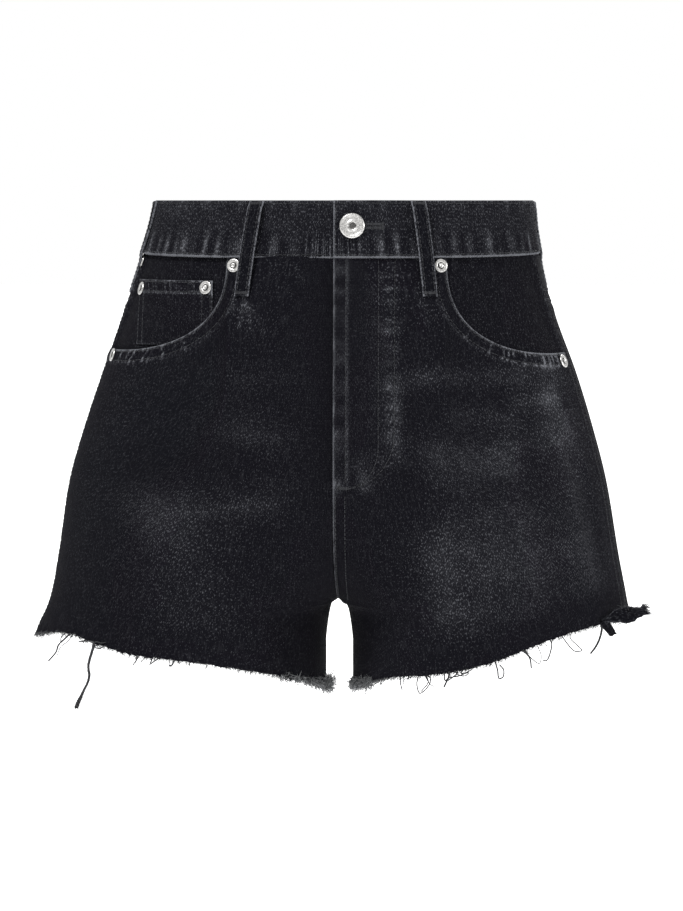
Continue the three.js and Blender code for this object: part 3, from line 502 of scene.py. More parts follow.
def wear_and_fold_light(half, around, z):
    """Wear from the fades and from the folds that stand proud, partly painted light and shade of the folds."""
    here = skin(half, around, z)
    wear = np.zeros(here.shape[:-1])
    for side, a, b, width, strength in FADE_AND_FOLD_LIGHT_LINES:
        wear += np.where(np.asarray(half) == side, strength * bell(from_line(here, a, b)[0], width), 0)
    return wear + 0.1 * np.clip(fold_rise(half, around, z), -1, 2.5)


print("fades", len(FADE_AND_FOLD_LIGHT_LINES))

# %% [markdown]
# A sheet of cloth is made as a closed shell: a grid of points on the form, moved out for the face and
# in for the back, with a rolled edge all round. Its own map runs in metres along the cloth, so that a
# weave drawn on it keeps its real size.
# %% Cloth shells
EDGE_ROWS = np.array([0.12, 0.4, 0.9])


def spaced(count, length, ends=(True, True)):
    """Even steps from 0 to 1 over a length in mm, with close ones at the ends for a rolled edge."""
    near = EDGE_ROWS / length
    steps = [*np.linspace(0, 1, count + 1), *(near if ends[0] else []), *(1 - near if ends[1] else [])]
    return np.array(sorted(steps))


def grid_distance(points, axis):
    step = np.linalg.norm(np.diff(points, axis=axis), axis=-1)
    zero = np.zeros_like(np.take(step, [0], axis=axis))
    return np.concatenate([zero, np.cumsum(step, axis=axis)], axis=axis)


def shell_faces(shape):
    """The faces of a closed shell whose back repeats the grid of its face."""
    top = np.arange(shape[0] * shape[1]).reshape(shape)
    low = top + top.size
    loops = [
        (top[:-1, :-1], top[1:, :-1], top[1:, 1:], top[:-1, 1:]),
        (low[:-1, 1:], low[1:, 1:], low[1:, :-1], low[:-1, :-1]),
        (top[:-1, 0], low[:-1, 0], low[1:, 0], top[1:, 0]),
        (top[1:, -1], low[1:, -1], low[:-1, -1], top[:-1, -1]),
        (top[0, 1:], low[0, 1:], low[0, :-1], top[0, :-1]),
        (top[-1, :-1], low[-1, :-1], low[-1, 1:], top[-1, 1:]),
    ]
    return np.concatenate([np.stack([corner.ravel() for corner in loop], -1) for loop in loops])


def finished_mesh(name, points, faces, places, wear, look_number=None):
    """A mesh object from points in mm, with its map, its wear and smooth faces."""
    mesh = bpy.data.meshes.new(name)
    size = faces.shape[1]
    mesh.vertices.add(len(points))
    mesh.vertices.foreach_set("co", (points * MM).astype(np.float32).ravel())
    mesh.loops.add(faces.size)
    mesh.loops.foreach_set("vertex_index", faces.astype(np.int32).ravel())
    mesh.polygons.add(len(faces))
    mesh.polygons.foreach_set("loop_start", np.arange(0, faces.size, size, dtype=np.int32))
    mesh.polygons.foreach_set("loop_total", np.full(len(faces), size, np.int32))
    mesh.polygons.foreach_set("use_smooth", np.ones(len(faces), bool))
    mesh.update(calc_edges=True)
    mesh.validate()
    cloth_map = mesh.uv_layers.new(name="cloth")
    cloth_map.data.foreach_set("uv", places[faces.ravel()].astype(np.float32).ravel())
    tone = mesh.attributes.new("wear", "FLOAT", "POINT")
    tone.data.foreach_set("value", np.clip(wear, -0.5, 1.5).astype(np.float32))
    piece = bpy.data.objects.new(name, mesh)
    bpy.context.collection.objects.link(piece)
    if look_number is not None:
        piece["inside_faces"] = int(look_number.sum())
        mesh.materials.append(None)
        mesh.materials.append(None)
        mesh.polygons.foreach_set("material_index", look_number)
    return piece


def cloth_shell(name, half, around, z, lift, wear, thick=CLOTH, rolled=(True, True, True, True), map_side=1):
    """A closed shell over a grid of places. lift is the outer face's distance from the form, rolled says
    which edges are rounded (first column, last column, first row, last row)."""
    half = np.broadcast_to(np.asarray(half, float), around.shape)
    base, normal = skin(half, around, z), outward(half, around, z)
    middle = fold_rise(half, around, z) + lift - thick / 2
    across, down = grid_distance(base, 0), grid_distance(base, 1)
    near = np.full(around.shape, 1e9)
    for use, gone in zip(rolled, (across, across[-1:] - across, down, down[:, -1:] - down)):
        if use:
            near = np.minimum(near, gone)
    fullness = np.sqrt(np.clip(1 - (1 - np.clip(near / (thick / 2), 0, 1)) ** 2, 0.02, 1))
    outer = base + normal * (middle + thick / 2 * fullness)[..., None]
    inner = base + normal * (middle - thick / 2 * fullness)[..., None]
    faces, points = shell_faces(around.shape), np.concatenate([outer.reshape(-1, 3), inner.reshape(-1, 3)])
    corner, spot = points[faces[:200]], normal.reshape(-1, 3)[faces[:200, 0]]
    turned = np.cross(corner[:, 1] - corner[:, 0], corner[:, 3] - corner[:, 0])
    if float(np.sum(turned * spot)) < 0:
        faces = faces[:, ::-1]
    across_map = across.mean(axis=1, keepdims=True) + 0 * across
    places = np.stack([map_side * across_map, -down], -1).reshape(-1, 2) * MM
    wear = np.broadcast_to(wear, around.shape).ravel()
    one_side = (around.shape[0] - 1) * (around.shape[1] - 1)
    inside = np.zeros(len(faces), np.int32)
    inside[one_side : 2 * one_side] = 1
    return finished_mesh(name, points, faces, np.tile(places, (2, 1)), np.tile(wear, 2), inside)


def finish_piece(piece, slot, node=None, *looks):
    """Puts looks on a piece, face first and back second, hangs it from the root and hides the solid it replaces;
    slot is not used.
    """
    worn_looks = piece.data.materials
    for number, look in enumerate(looks):
        if number < len(worn_looks):
            worn_looks[number] = look
        else:
            worn_looks.append(look)
    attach(piece, "root")
    if node:
        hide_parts(node)
    print(piece.name, len(piece.data.polygons), "faces")
    return piece


print("close rows at a rolled edge", len(EDGE_ROWS))

# %% [markdown]
# Dyes. Black twill shows fine diagonal ribs. Its dyed warp is worn through in specks that show the pale
# core of the yarn, so a rubbed place turns salt and pepper, not plain grey. The ribs, the yarns and the
# specks are drawn on the cloth's own map in metres, and the specks grow with the wear.
# %% Denim
def wire(tree, kind, sets=None, **links):
    """Adds a node, sets its plain values and wires its sockets."""
    node = tree.nodes.new(kind)
    for key, value in (sets or {}).items():
        if isinstance(key, str) and hasattr(node, key):
            setattr(node, key, value)
        else:
            node.inputs[key].default_value = value
    for key, source in links.items():
        tree.links.new(source, node.inputs[int(key[1:]) if key[1:].isdigit() else key])
    return node


class Look:
    """A material that is built up from few kinds of node."""

    def __init__(self, name, roughness, **sets):
        self.material = bpy.data.materials.new(name)
        self.material.use_nodes = True
        self.tree = self.material.node_tree
        self.tree.nodes.clear()
        self.out = wire(self.tree, "ShaderNodeOutputMaterial")
        self.shader = wire(self.tree, "ShaderNodeBsdfPrincipled", {"Roughness": roughness, **sets})
        self.tree.links.new(self.shader.outputs["BSDF"], self.out.inputs["Surface"])

    def attribute(self, name):
        return wire(self.tree, "ShaderNodeAttribute", {"attribute_name": name}).outputs["Fac"]

    def cloth_map(self):
        return wire(self.tree, "ShaderNodeUVMap", {"uv_map": "cloth"}).outputs["UV"]

    def solid_place(self):
        return wire(self.tree, "ShaderNodeTexCoord").outputs["Object"]

    def stretched(self, place, across, along):
        return wire(self.tree, "ShaderNodeMapping", {"Scale": (across, along, 1)}, Vector=place).outputs["Vector"]

    def noise(self, place, scale, detail=2.0, **sets):
        sets = {"Scale": scale, "Detail": detail, **sets}
        return wire(self.tree, "ShaderNodeTexNoise", sets, Vector=place).outputs["Fac"]

    def stripes(self, place, across, along, shift=0.0):
        """Waves over the map, shifted by a number or another socket."""
        sets = {"operation": "DOT_PRODUCT", 1: (across, along, 0)}
        run = wire(self.tree, "ShaderNodeVectorMath", sets, _0=place)
        return self.math("SINE", self.math("ADD", run.outputs["Value"], shift))

    def math(self, operation, *values, clamp=False):
        node = wire(self.tree, "ShaderNodeMath", {"operation": operation, "use_clamp": clamp})
        for number, value in enumerate(values):
            if isinstance(value, (int, float)):
                node.inputs[number].default_value = value
            else:
                self.tree.links.new(value, node.inputs[number])
        return node.outputs[0]

    def times(self, a, b):
        return self.math("MULTIPLY", a, b)

    def ramp(self, source, start, end):
        node = wire(self.tree, "ShaderNodeValToRGB", None, Fac=source)
        node.color_ramp.elements[0].position, node.color_ramp.elements[1].position = start, end
        return node.outputs["Color"]

    def colour(self, low, high, share):
        node = wire(self.tree, "ShaderNodeMix", {"data_type": "RGBA", 6: (*low, 1), 7: (*high, 1)}, _0=share)
        self.tree.links.new(node.outputs[2], self.shader.inputs["Base Color"])

    def bump(self, height, strength, distance):
        node = wire(self.tree, "ShaderNodeBump", {"Strength": strength, "Distance": distance}, Height=height)
        self.tree.links.new(node.outputs["Normal"], self.shader.inputs["Normal"])


def denim(name, dye, core, speck=0.26, lift=0.0):
    """Twill of a dye colour whose worn specks show the core colour."""
    look = Look(name, 0.95, **{"Specular IOR Level": 0.02})
    place, times = look.cloth_map(), look.times
    ribs = look.stripes(place, 4100, -2960, times(look.noise(place, 420.0), 5.0))
    ribs = look.math("MULTIPLY_ADD", ribs, 0.5, 0.5)
    grain = look.noise(look.stretched(place, 1.35, 0.6), 960.0, 1.6, Roughness=0.6)
    patch = look.noise(place, 74.0, 5.0, Roughness=0.66)
    slub = look.noise(look.stretched(place, 1.0, 0.16), 620.0)
    # The wear value also carries the painted light and shade of the folds from the fade strokes.
    worn = look.math("MAXIMUM", look.attribute("wear"), 0.0)
    worn_here = times(worn, look.math("MULTIPLY_ADD", patch, 1.3, 0.2))
    worn_here = look.math("MAXIMUM", worn_here, times(worn, 0.25))
    rough_grain = look.math("ADD", grain, times(ribs, 0.035))
    salt = look.ramp(look.math("MULTIPLY_ADD", worn_here, 0.09, rough_grain), 0.6, 0.74)
    salt = times(salt, look.math("MULTIPLY_ADD", worn_here, 0.8, speck))
    squared = times(worn_here, worn_here)
    rubbed_through = times(times(squared, squared), look.math("MULTIPLY_ADD", grain, 1.6, -0.25))
    haze = look.math("ADD", times(squared, look.math("MULTIPLY_ADD", ribs, 0.16, 0.12)), rubbed_through)
    slubs = look.math("ADD", times(look.ramp(slub, 0.52, 0.78), 0.07), lift)
    look.colour(dye, core, look.math("ADD", look.math("ADD", salt, haze), slubs, clamp=True))
    height = look.math("ADD", ribs, times(look.stripes(place, 13000, 0), 0.2))
    look.bump(look.math("ADD", height, times(grain, 1.4)), 0.6, 0.0003)
    return look.material


BLACK_DYE = (0.0024, 0.0023, 0.0034)
GREY_CORE = (0.064, 0.066, 0.073)
washed_black = denim("washed black twill", BLACK_DYE, GREY_CORE)
facing_black = denim("unfaded black twill", (0.0022, 0.0021, 0.0031), GREY_CORE, 0.32)
loop_black = denim("folded twill", (0.002, 0.002, 0.003), GREY_CORE, 0.26)
twill_back = denim("grey back of the twill", (0.008, 0.0085, 0.0095), (0.07, 0.074, 0.078), 0.5, 0.1)
print("dye", BLACK_DYE, "worn core", GREY_CORE)

# %% [markdown]
# The front panels are shaped first. Each is cut with a scoop at the hip for the pocket and turned under
# there, so its edge is twice as thick. The turned hem is sewn down in two rows and puckers between them.
# The wearer's left front laps over the right along the fly.
# %% Shaping beside the seams
HEM_TURN, TUCK = 9.5, 1.6
ABOVE_SHARE, HEM_CUT = 0.5, 0.7


def fly_flat(here):
    """1 inside the curved row of the fly, 0 outside it."""
    x, z = here[..., 0], here[..., 2]
    low = np.clip((FLY_TURN - z) / FLY_DROP, 0, 1)
    reach = np.where(z > FLY_TURN, FLY_ROW, 3 + FLY_DROP * np.sqrt(1 - low**2) ** 0.85)
    return np.where(z < FLY_TURN - FLY_DROP, 0, ease((reach - x) / 1.6 + 0.5))


def front_shape(half, around, z):
    """How far a front's face stands off the form, and how worn its seams make it."""
    here = skin(half, around, z)
    x = np.abs(here[..., 0])
    lift = np.asarray(fly_step(half, x, z), float)
    wear = wear_and_fold_light(half, around, z)
    off, along = beside(here, SEAMS["scoop", half])
    pucker = ripple(along, 6.0, 1.0 + half) * ease((along - 20) / 60)
    turned = ease((HEM_TURN - off) / 1.4)
    lift = lift + 0.4 * turned + 0.8 * pucker * bell(off - 5.2, 3.6)
    wear += 1.35 * bell(off, 1.5) + 0.75 * bell(off - HEM_TURN, 1.3) * (0.7 + 0.6 * pucker)
    wear += 1.3 * turned * np.clip(pucker, 0, 1) - 0.2 * turned
    off, along = beside(here, SEAMS["side", half])
    pucker = ripple(along, 9.0, 2.0 + half)
    lift = lift + 0.45 * bell(off - 4.5, 3.4) + 0.22 * pucker * bell(off - 6, 5)
    wear += (0.42 + 0.2 * pucker) * bell(off, 1.6) + 0.22 * bell(off - 8.5, 1.2)
    off, along = beside(here, SEAMS["centre", half])
    pucker = ripple(along, 8.0, 3.0)
    if half == LEFT:
        lift = lift + 0.3 * bell(off - 5, 4.2, 4) + 0.2 * pucker * bell(off - 6, 4)
        fly = ease((z - FLY_END) / 6)
        wear += (1.05 + 0.3 * pucker) * bell(off, 1.5) + 0.5 * bell(off - 9.6, 1.4) * fly
        wear += fly * (0.2 + 0.4 * ripple(along, 21.0, 7.7)) * bell(off - 5, 4.2, 4)
        inside = fly_flat(here)
        row, gone = beside(here, SEAMS["fly", LEFT])
        bumps = ripple(gone, 13.0, 4.4)
        lift = lift + 0.32 * inside + 0.3 * bumps * bell(row - 5, 6) * inside
        wear += (0.22 + 0.26 * bumps) * bell(row - 2, 4.5) + 0.16 * inside * np.clip(bumps, 0, 1)
    else:
        wear += (0.12 + 0.1 * pucker) * bell(off, 2.0)
    off, along = beside(here, SEAMS["band", half])
    pucker = ripple(along, 11.0, 5.0 + half)
    lift = lift + 0.22 * pucker * bell(off, 9)
    # The dip in wear right at the waistband's lower edge is painted shade under the band's edge.
    wear += 0.16 * np.clip(pucker, 0, 1) * bell(off - 4, 6) - 0.25 * bell(off, 2.5)
    wear += 0.3 * bell(beside(here, SEAMS["inseam", half])[0], 1.6)
    off, along = beside(here, SEAMS["hem", half])
    lift = lift + 0.5 * ripple(along, 17.0, 6.0 + half) * bell(off, 7)
    wear -= 0.4 * bell(off, 16) * (x > 60) + 0.2 * bell(off, 16)
    return lift, wear + 0.5 * bell(off, 1.2)


def seam_share(half, around, z):
    return (around - 1) / (side_seam(half, z) - 1)


def plumb_share(half, x, z):
    return seam_share(half, round_at_x(half, x, z), z)


def fan_share(half, x, at, z):
    rest = (1 - seam_share(half, *at)) / (1 - plumb_share(half, x, at[1]))
    return 1 - rest * (1 - plumb_share(half, x, z))


def column_heights(top, hem, centre_top, rise_curve, nearness):
    """Heights down one column: p runs 0 to 1 above the level of the crotch and q below it."""
    p, q = spaced(76, 200.0, (True, False)), spaced(46, 70.0, (False, True))
    rise_top = CROTCH + rise_curve
    straight = np.clip(p / ABOVE_SHARE, 0, 1)
    curved = np.sin(QUARTER * np.clip((p - ABOVE_SHARE) / (1 - ABOVE_SHARE), 0, 1))
    centre = np.where(p < ABOVE_SHARE, mix(centre_top, rise_top, straight), mix(rise_top, CROTCH, curved))
    turn = mix(SIDE_TURN, CROTCH, nearness)
    upper = mix(top, turn, mix(p, (centre - centre_top) / (CROTCH - centre_top), nearness))
    lower = mix(turn, hem, mix(q, q**2.2, nearness))
    return np.concatenate([upper[:-1], lower])


def cut_edge(half, around):
    """The scissors' uneven line, a little above the hem's yarns."""
    return hem_at(half, around) + HEM_CUT + 0.5 * ripple(np.asarray(around) * 150, 6.0, 2.0) * (1 - 0.2 * half)


def hem_round(half, i, inner, outer, centre, high):
    seam = side_seam(half, hem_at(half, 1.9))
    return mix(centre, high, i / inner) if i < inner else mix(high, seam, (i - inner) / outer)


def front_grid(half):
    _, start, bottom, _ = SCOOPS[half]
    columns = FRONT_INNER + FRONT_MIDDLE + FRONT_POCKET
    mouth = float(scoop_line(half, start, bottom, SCOOP_POWER, 0.0)[0])
    rounds, heights = [], []
    for i in spaced(132, 250.0) * columns:
        at_hem = float(hem_round(half, i, FRONT_INNER, FRONT_MIDDLE + FRONT_POCKET, 0, 1))
        evenly = (i - FRONT_INNER) / (columns - FRONT_INNER)
        middle = float(np.clip((i - FRONT_INNER) / FRONT_MIDDLE, 0, 1))
        around = mix(1, mouth, middle) if i > FRONT_INNER else at_hem
        top = float(band_bottom(around)) + TUCK
        if i > FRONT_INNER + FRONT_MIDDLE:
            turn = (i - FRONT_INNER - FRONT_MIDDLE) / FRONT_POCKET
            around, top = (float(v) for v in scoop_line(half, start, bottom, SCOOP_POWER, turn))
        z = column_heights(
            top, float(cut_edge(half, at_hem)), BAND_FRONT + TUCK, FRONT_RISE_CURVE,
            1 - float(ease(at_hem / 1.25)),
        )
        place = np.full(z.shape, max(EDGE, i / FRONT_INNER))
        if i > FRONT_INNER:
            share = plumb_share(half, start, z) * middle
            if middle >= 1:
                share = fan_share(half, start, (around, top), z)
            part = mix(share, evenly, ease((bottom - z) / 130.0))
            place = 1 + part * (side_seam(half, z) - 1) - (EDGE if i == columns else 0)
        rounds.append(place)
        heights.append(z)
    return np.array(rounds), np.array(heights)


print("hem turn", HEM_TURN, "mm, tuck", TUCK, "mm")

# %% [markdown]
# Each front is then made as a shell on its grid. Its hem isn't rolled, because it was cut off.
# %% Front panels
PANELS = {}
for half in (RIGHT, LEFT):
    side = SCOOPS[half][0]
    around, z = front_grid(half)
    lift, wear = front_shape(half, around, z)
    rolled = (True, True, True, False)
    panel = cloth_shell(f"front_panel_{side}", half, around, z, lift, wear, rolled=rolled, map_side=half)
    PANELS["front", half] = finish_piece(panel, "denim", f"front_{side}", washed_black, twill_back)

# %% [markdown]
# The back panels and yokes. The back rise curves deep between the legs, because the seat needs more
# cloth than the belly. The yoke is the shaped strip above it, and its seam is folded and sewn in two
# rows, so it stands proud as a ridge.
# %% Back panels and yokes
SIDE_TUCK = 0.13
ROUND_MM = 165.0


def under(off):
    """How deep a tucked edge lies, by how far in mm it has gone under."""
    return -0.8 * ease((off + 0.7) / 1.1)


def back_shape(half, around, z, kind):
    here = skin(half, around, z)
    lift = np.zeros(around.shape)
    if kind == "back":
        lift += under(z - yoke_level(half, around)) + under((side_seam(half, z) - around) * ROUND_MM)
    wear = wear_and_fold_light(half, around, z)
    for key, seed, length, proud in (("side", 2.5, 9.0, 0.1), ("rise", 3.5, 8.0, 0.34), ("yoke", 4.5, 9.5, 0.34)):
        off, along = beside(here, SEAMS[key, half])
        pucker = ripple(along, length, seed + half)
        lift = lift + proud * bell(off - 3, 4, 4) + 0.22 * pucker * bell(off - 5, 5)
        wear = wear + (0.45 + 0.2 * pucker) * bell(off, 1.6) + 0.2 * bell(off - 8.5, 1.3)
    wear = wear + 0.3 * bell(beside(here, SEAMS["inseam", half])[0], 1.6)
    off, along = beside(here, SEAMS["hem", half])
    lift = lift + 0.5 * ripple(along, 17.0, 7.0 + half) * bell(off, 7)
    return lift, wear - 0.3 * bell(off, 16) + 0.5 * bell(off, 1.2)


def back_grid(half):
    rounds, heights = [], []
    for i in spaced(104, 230.0) * (BACK_INNER + BACK_OUTER + SIDE_TUCK):
        at_hem = float(hem_round(half, i, BACK_INNER, BACK_OUTER, 4, 3))
        z = column_heights(
            float(yoke_line(half, i)) + TUCK, float(cut_edge(half, at_hem)),
            float(yoke_line(half, 0)) + TUCK, BACK_RISE_CURVE,
            1 - float(ease((4 - at_hem) / 1.25)),
        )
        rounds.append(back_round(half, i, z))
        heights.append(z)
    return np.array(rounds), np.array(heights)


def yoke_grid(half):
    rounds, heights = [], []
    for i in spaced(104, 230.0) * (BACK_INNER + BACK_OUTER):
        top = float(band_bottom(back_round(half, i, BAND_SIDE))) + TUCK
        heights.append(mix(top, float(yoke_line(half, i)), spaced(20, 45.0)))
        rounds.append(back_round(half, i, heights[-1]))
    return np.array(rounds), np.array(heights)


for half in (RIGHT, LEFT):
    side = SCOOPS[half][0]
    for kind, grid in (("back", back_grid), ("yoke", yoke_grid)):
        around, z = grid(half)
        lift, wear = back_shape(half, around, z, kind)
        rolled = (True, True, True, kind == "yoke")
        panel = cloth_shell(f"{kind}_panel_{side}", half, around, z, lift, wear, rolled=rolled, map_side=-half)
        PANELS[kind, half] = finish_piece(panel, "denim", f"{kind}_{side}", washed_black, twill_back)

# %% [markdown]
# Distances along the cloth. A pocket or a loop is placed by so many millimetres from a seam, as a maker
# measures it, so this walks that far round the form at one height.
# %% Walking along the cloth
WALK_GRID = np.linspace(0, 4, 321)


def walk(half, z, around, distance):
    half, z, around, distance = np.broadcast_arrays(*(np.asarray(v, float) for v in (half, z, around, distance)))
    points = skin(half[..., None], WALK_GRID, z[..., None]).reshape(-1, len(WALK_GRID), 3)
    length = grid_distance(points, 1)
    at = np.empty(len(length))
    for row, (start, far) in enumerate(zip(around.ravel(), distance.ravel())):
        goal = np.interp(start, WALK_GRID, length[row]) + far
        at[row] = np.interp(goal, length[row], WALK_GRID)
    return at.reshape(z.shape)


seam_at = side_seam(RIGHT, -80.0)
print("30 mm from the side seam is", round(float(seam_at - walk(RIGHT, -80.0, seam_at, -30.0)), 4), "round")

# %% [markdown]
# Inside each scooped opening lies a facing of the same twill, with the plain cotton pocket bag behind
# it. The facing has never rubbed against anything, so it has kept its dye.
# %% Pocket facings and bags
FACING_UNDER, FACING_CLOTH, FACING_FROM = 17.0, 1.1, 0.085
BAG_START, BAG_BOTTOM, BAG_POWER, BAG_FROM = 102.0, -204.0, 3.2, 0.19
BAG_CLOTH, BAG_GAP = 1.0, 0.7


def shades(look, place, tone, darker, scale, detail, edges=None):
    """Mottles a look from a darker shade of its tone."""
    share = look.noise(place, scale, detail)
    look.colour(tuple(c * darker for c in tone), tone, look.ramp(share, *edges) if edges else share)


def plain_cotton(name, tone):
    look = Look(name, 0.95, **{"Specular IOR Level": 0.15})
    place = look.cloth_map()
    look.bump(look.times(look.stripes(place, 16000, 0), look.stripes(place, 0, 16000)), 0.4, 0.0002)
    shades(look, place, tone, 0.7, 90.0, 3.0)
    return look.material


bag_cotton = plain_cotton("black pocket cotton", (0.012, 0.012, 0.0145))


def scoop_grid(half, start, bottom, power, first, columns, rows):
    rounds, heights = [], []
    for turn in mix(first, 1, spaced(columns, 110.0)):
        at, low = (float(v) for v in scoop_line(half, start, bottom, power, turn))
        z = mix(float(band_bottom(at)) + TUCK, low, spaced(rows, 60.0))
        reach = side_seam(half, z) - 1 + 0.012 * (turn > 0.9)
        rounds.append(1 + fan_share(half, start, (at, low), z) * reach - EDGE)
        heights.append(z)
    return np.array(rounds), np.array(heights)


for half in (RIGHT, LEFT):
    side, start, bottom, facing_out = SCOOPS[half]
    around, z = scoop_grid(half, start - FACING_UNDER, bottom - FACING_UNDER, SCOOP_POWER, FACING_FROM, 64, 44)
    from_seam = (side_seam(half, z) - around) * ROUND_MM
    lift = mix(facing_out, -0.35, 1 - ease(from_seam / 9)) - 0.5 * (1 - ease((from_seam + 1.2) / 0.8))
    wear = 0.5 * wear_and_fold_light(half, around, z) - 0.05 + 0.5 * bell(from_seam - 1, 1.2)
    facing = cloth_shell(f"facing_{side}", half, around, z, lift, wear, thick=FACING_CLOTH, map_side=half)
    around, z = scoop_grid(half, BAG_START, BAG_BOTTOM, BAG_POWER, BAG_FROM, 48, 60)
    bag_out = facing_out - FACING_CLOTH - BAG_GAP
    bag = cloth_shell(f"bag_{side}", half, around, z, bag_out, 0.0, thick=BAG_CLOTH, map_side=half)
    PANELS["facing", half] = finish_piece(facing, "denim", f"pocket_facing_{side}", facing_black, twill_back)
    PANELS["bag", half] = finish_piece(bag, "bag_cotton", f"pocket_bag_{side}", bag_cotton, bag_cotton)

# %% [markdown]
# The coin pocket is a small patch on the wearer's right facing, with its top edge turned down and sewn.
# The two back pockets are patches with pointed ends, sewn to the seat with two rows.
# %% Coin pocket and back pockets
COIN_INNER, COIN_OUTER, COIN_TOP, COIN_BOTTOM, COIN_OUT, COIN_CLOTH = 83.5, 139.6, -54.5, -99.0, -1.5, 1.1
COIN_HEM, COIN_WIDTH, COIN_HEIGHT = 8.6, 55, 44.5
POCKET_FROM_CENTRE, POCKET_TOP, POCKET_WIDTH, POCKET_TAPER = 27.0, -98.0, 134.0, 8.0
POCKET_HEIGHT, POCKET_POINT, POCKET_SEAT, POCKET_HEM, POCKET_SPAN = 122.0, 22.0, 0.85, 26.0, 130


def patch_wear(u, v, width, height, hem):
    """Wear on a patch pocket: its edges and the lower edge of its turned top."""
    side, down = np.minimum(u, 1 - u) * width, v * height
    wear = 0.7 * bell(side, 1.2) + 0.6 * bell((1 - v) * height, 1.2) + 0.95 * bell(down, 1.3)
    return wear + 0.4 * bell(side - 6, 1.2) + 0.8 * bell(down - hem, 1.2)


def pocket_place(half, u, v):
    """The place on the seat of a spot on a back pocket, u across it and v down it."""
    low = POCKET_TOP - POCKET_HEIGHT - POCKET_POINT * (1 - np.abs(2 * u - 1))
    z, inset = mix(POCKET_TOP, low, v), POCKET_TAPER * v
    return walk(half, z, 4.0, -(POCKET_FROM_CENTRE + inset + u * (POCKET_WIDTH - 2 * inset))), z


u, v = np.meshgrid(spaced(46, 55.0), spaced(40, 44.0), indexing="ij")
z = mix(COIN_TOP, COIN_BOTTOM, v)
around = mix(round_at_x(RIGHT, COIN_INNER, z), round_at_x(RIGHT, COIN_OUTER, z), u)
down = COIN_TOP - z
bumps = ripple(u * COIN_WIDTH, 6.0, 2.2) * bell(down - COIN_HEM / 2, 3.5)
lift = COIN_OUT + 0.45 * ease((COIN_HEM - down) / 1.2) + 0.3 * bumps
wear = patch_wear(u, v, COIN_WIDTH, COIN_HEIGHT, COIN_HEM) + 0.9 * np.clip(bumps, 0, 1) - 0.05
coin = cloth_shell("coin_pocket_patch", RIGHT, around, z, lift, wear, thick=COIN_CLOTH, map_side=RIGHT)
PANELS["coin", RIGHT] = finish_piece(coin, "denim", "coin_pocket", facing_black, twill_back)

for half in (RIGHT, LEFT):
    side = SCOOPS[half][0]
    u, v = np.meshgrid(spaced(64, 130.0), spaced(60, 130.0), indexing="ij")
    around, z = pocket_place(half, u, v)
    down = POCKET_TOP - z
    edge = np.minimum(np.minimum(u, 1 - u), 1 - v) * POCKET_SPAN
    bumps = ripple((u + v) * POCKET_SPAN, 8.0, 4.0 + half) * bell(edge - 4, 4)
    lift = POCKET_SEAT + CLOTH + 0.3 * ease((POCKET_HEM - down) / 1.4) + 0.2 * bumps
    lift = lift + 0.9 * bell(down, 9) * np.sin(np.pi * u) ** 2
    wear = wear_and_fold_light(half, around, z) + 0.8 * patch_wear(u, v, POCKET_SPAN, POCKET_SPAN, POCKET_HEM)
    pocket = cloth_shell(f"back_patch_{side}", half, around, z, lift, wear, map_side=-half)
    PANELS["pocket", half] = finish_piece(pocket, "denim", f"back_pocket_{side}", washed_black, twill_back)

# %% [markdown]
# The waistband is one straight strip folded over the top of the cloth. It starts as an underlap behind
# the fly, goes round by the wearer's right and ends in the lap that carries the buttonhole. Its lower
# edge has shrunk a little on its seam, so it puckers into small bumps that rub pale.
# %% Waistband and fly shield
BAND_OUT, BAND_IN, BAND_STEP, BAND_HEIGHT = 1.2, -1.8, 1.7, 39
LAP_FLAT, LAP_EASE, UNDERLAP, UNDERLAP_STEPS, LAP_STEPS = 27.0, 34.0, 34.0, 20, 30
SHIELD_WIDTH, SHIELD_CLOTH, SHIELD_GAP = 41.0, 1.8, 0.85


def band_step(x):
    return BAND_STEP * (1 - ease((x - LAP_FLAT) / LAP_EASE))


def band_shape(half, around, z, step):
    """How far the waistband's face stands out from the form, and its wear."""
    along = half * np.abs(around) * 100.0
    depth = z / band_bottom(around)
    bumps = ripple(along, 9.5, 1.3) * bell(depth - 0.8, 0.2)
    fine = ripple(along, 5.3, 2.9) * bell(depth - 0.1, 0.12)
    groove = bell((depth - 0.95) * BAND_HEIGHT, 1.0) + bell((depth - 0.065) * BAND_HEIGHT, 0.9)
    lift = BAND_OUT + step + 0.4 * bumps + 0.12 * fine - 0.16 * groove
    wear = 0.34 + 0.75 * np.clip(bumps, -0.3, 1) + 0.3 * np.clip(fine, 0, 1)
    return lift, wear + 1.1 * bell((depth - 0.985) * BAND_HEIGHT, 0.9) + 0.35 * bell(z, 1.4)


places = np.concatenate([np.linspace(0, 1, 36, endpoint=False), np.linspace(1, 4, 166)])
under_x = UNDERLAP * (1 - np.arange(0, 1, 1 / UNDERLAP_STEPS))
band_half = np.repeat([LEFT, RIGHT, LEFT], [UNDERLAP_STEPS, len(places), len(places)])
band_round = np.concatenate([round_at_x(LEFT, under_x, BAND_FRONT / 2), places, places[::-1]])
band_x = np.abs(skin(band_half, band_round, 0.0)[:, 0])
band_steps = np.where(band_round < 2, band_half * band_step(band_x), 0)
band_steps[:UNDERLAP_STEPS] = -BAND_STEP
z = band_bottom(band_round)[:, None] * spaced(22, 39.0)
around = np.broadcast_to(band_round[:, None], z.shape)
sides = np.broadcast_to(band_half[:, None], z.shape)
lift, wear = band_shape(sides, around, z, band_steps[:, None])
ends = np.arange(len(band_half))[:, None] > len(band_half) - LAP_STEPS
wear = wear + np.where(ends, 1.1 * bell(np.abs(skin(sides, around, z)[..., 0]), 1.2), 0)
band = cloth_shell("waistband_strip", sides, around, z, lift, wear, thick=BAND_OUT - BAND_IN, map_side=-1)
PANELS["band", 0] = finish_piece(band, "denim_waistband", "waistband", washed_black, washed_black)

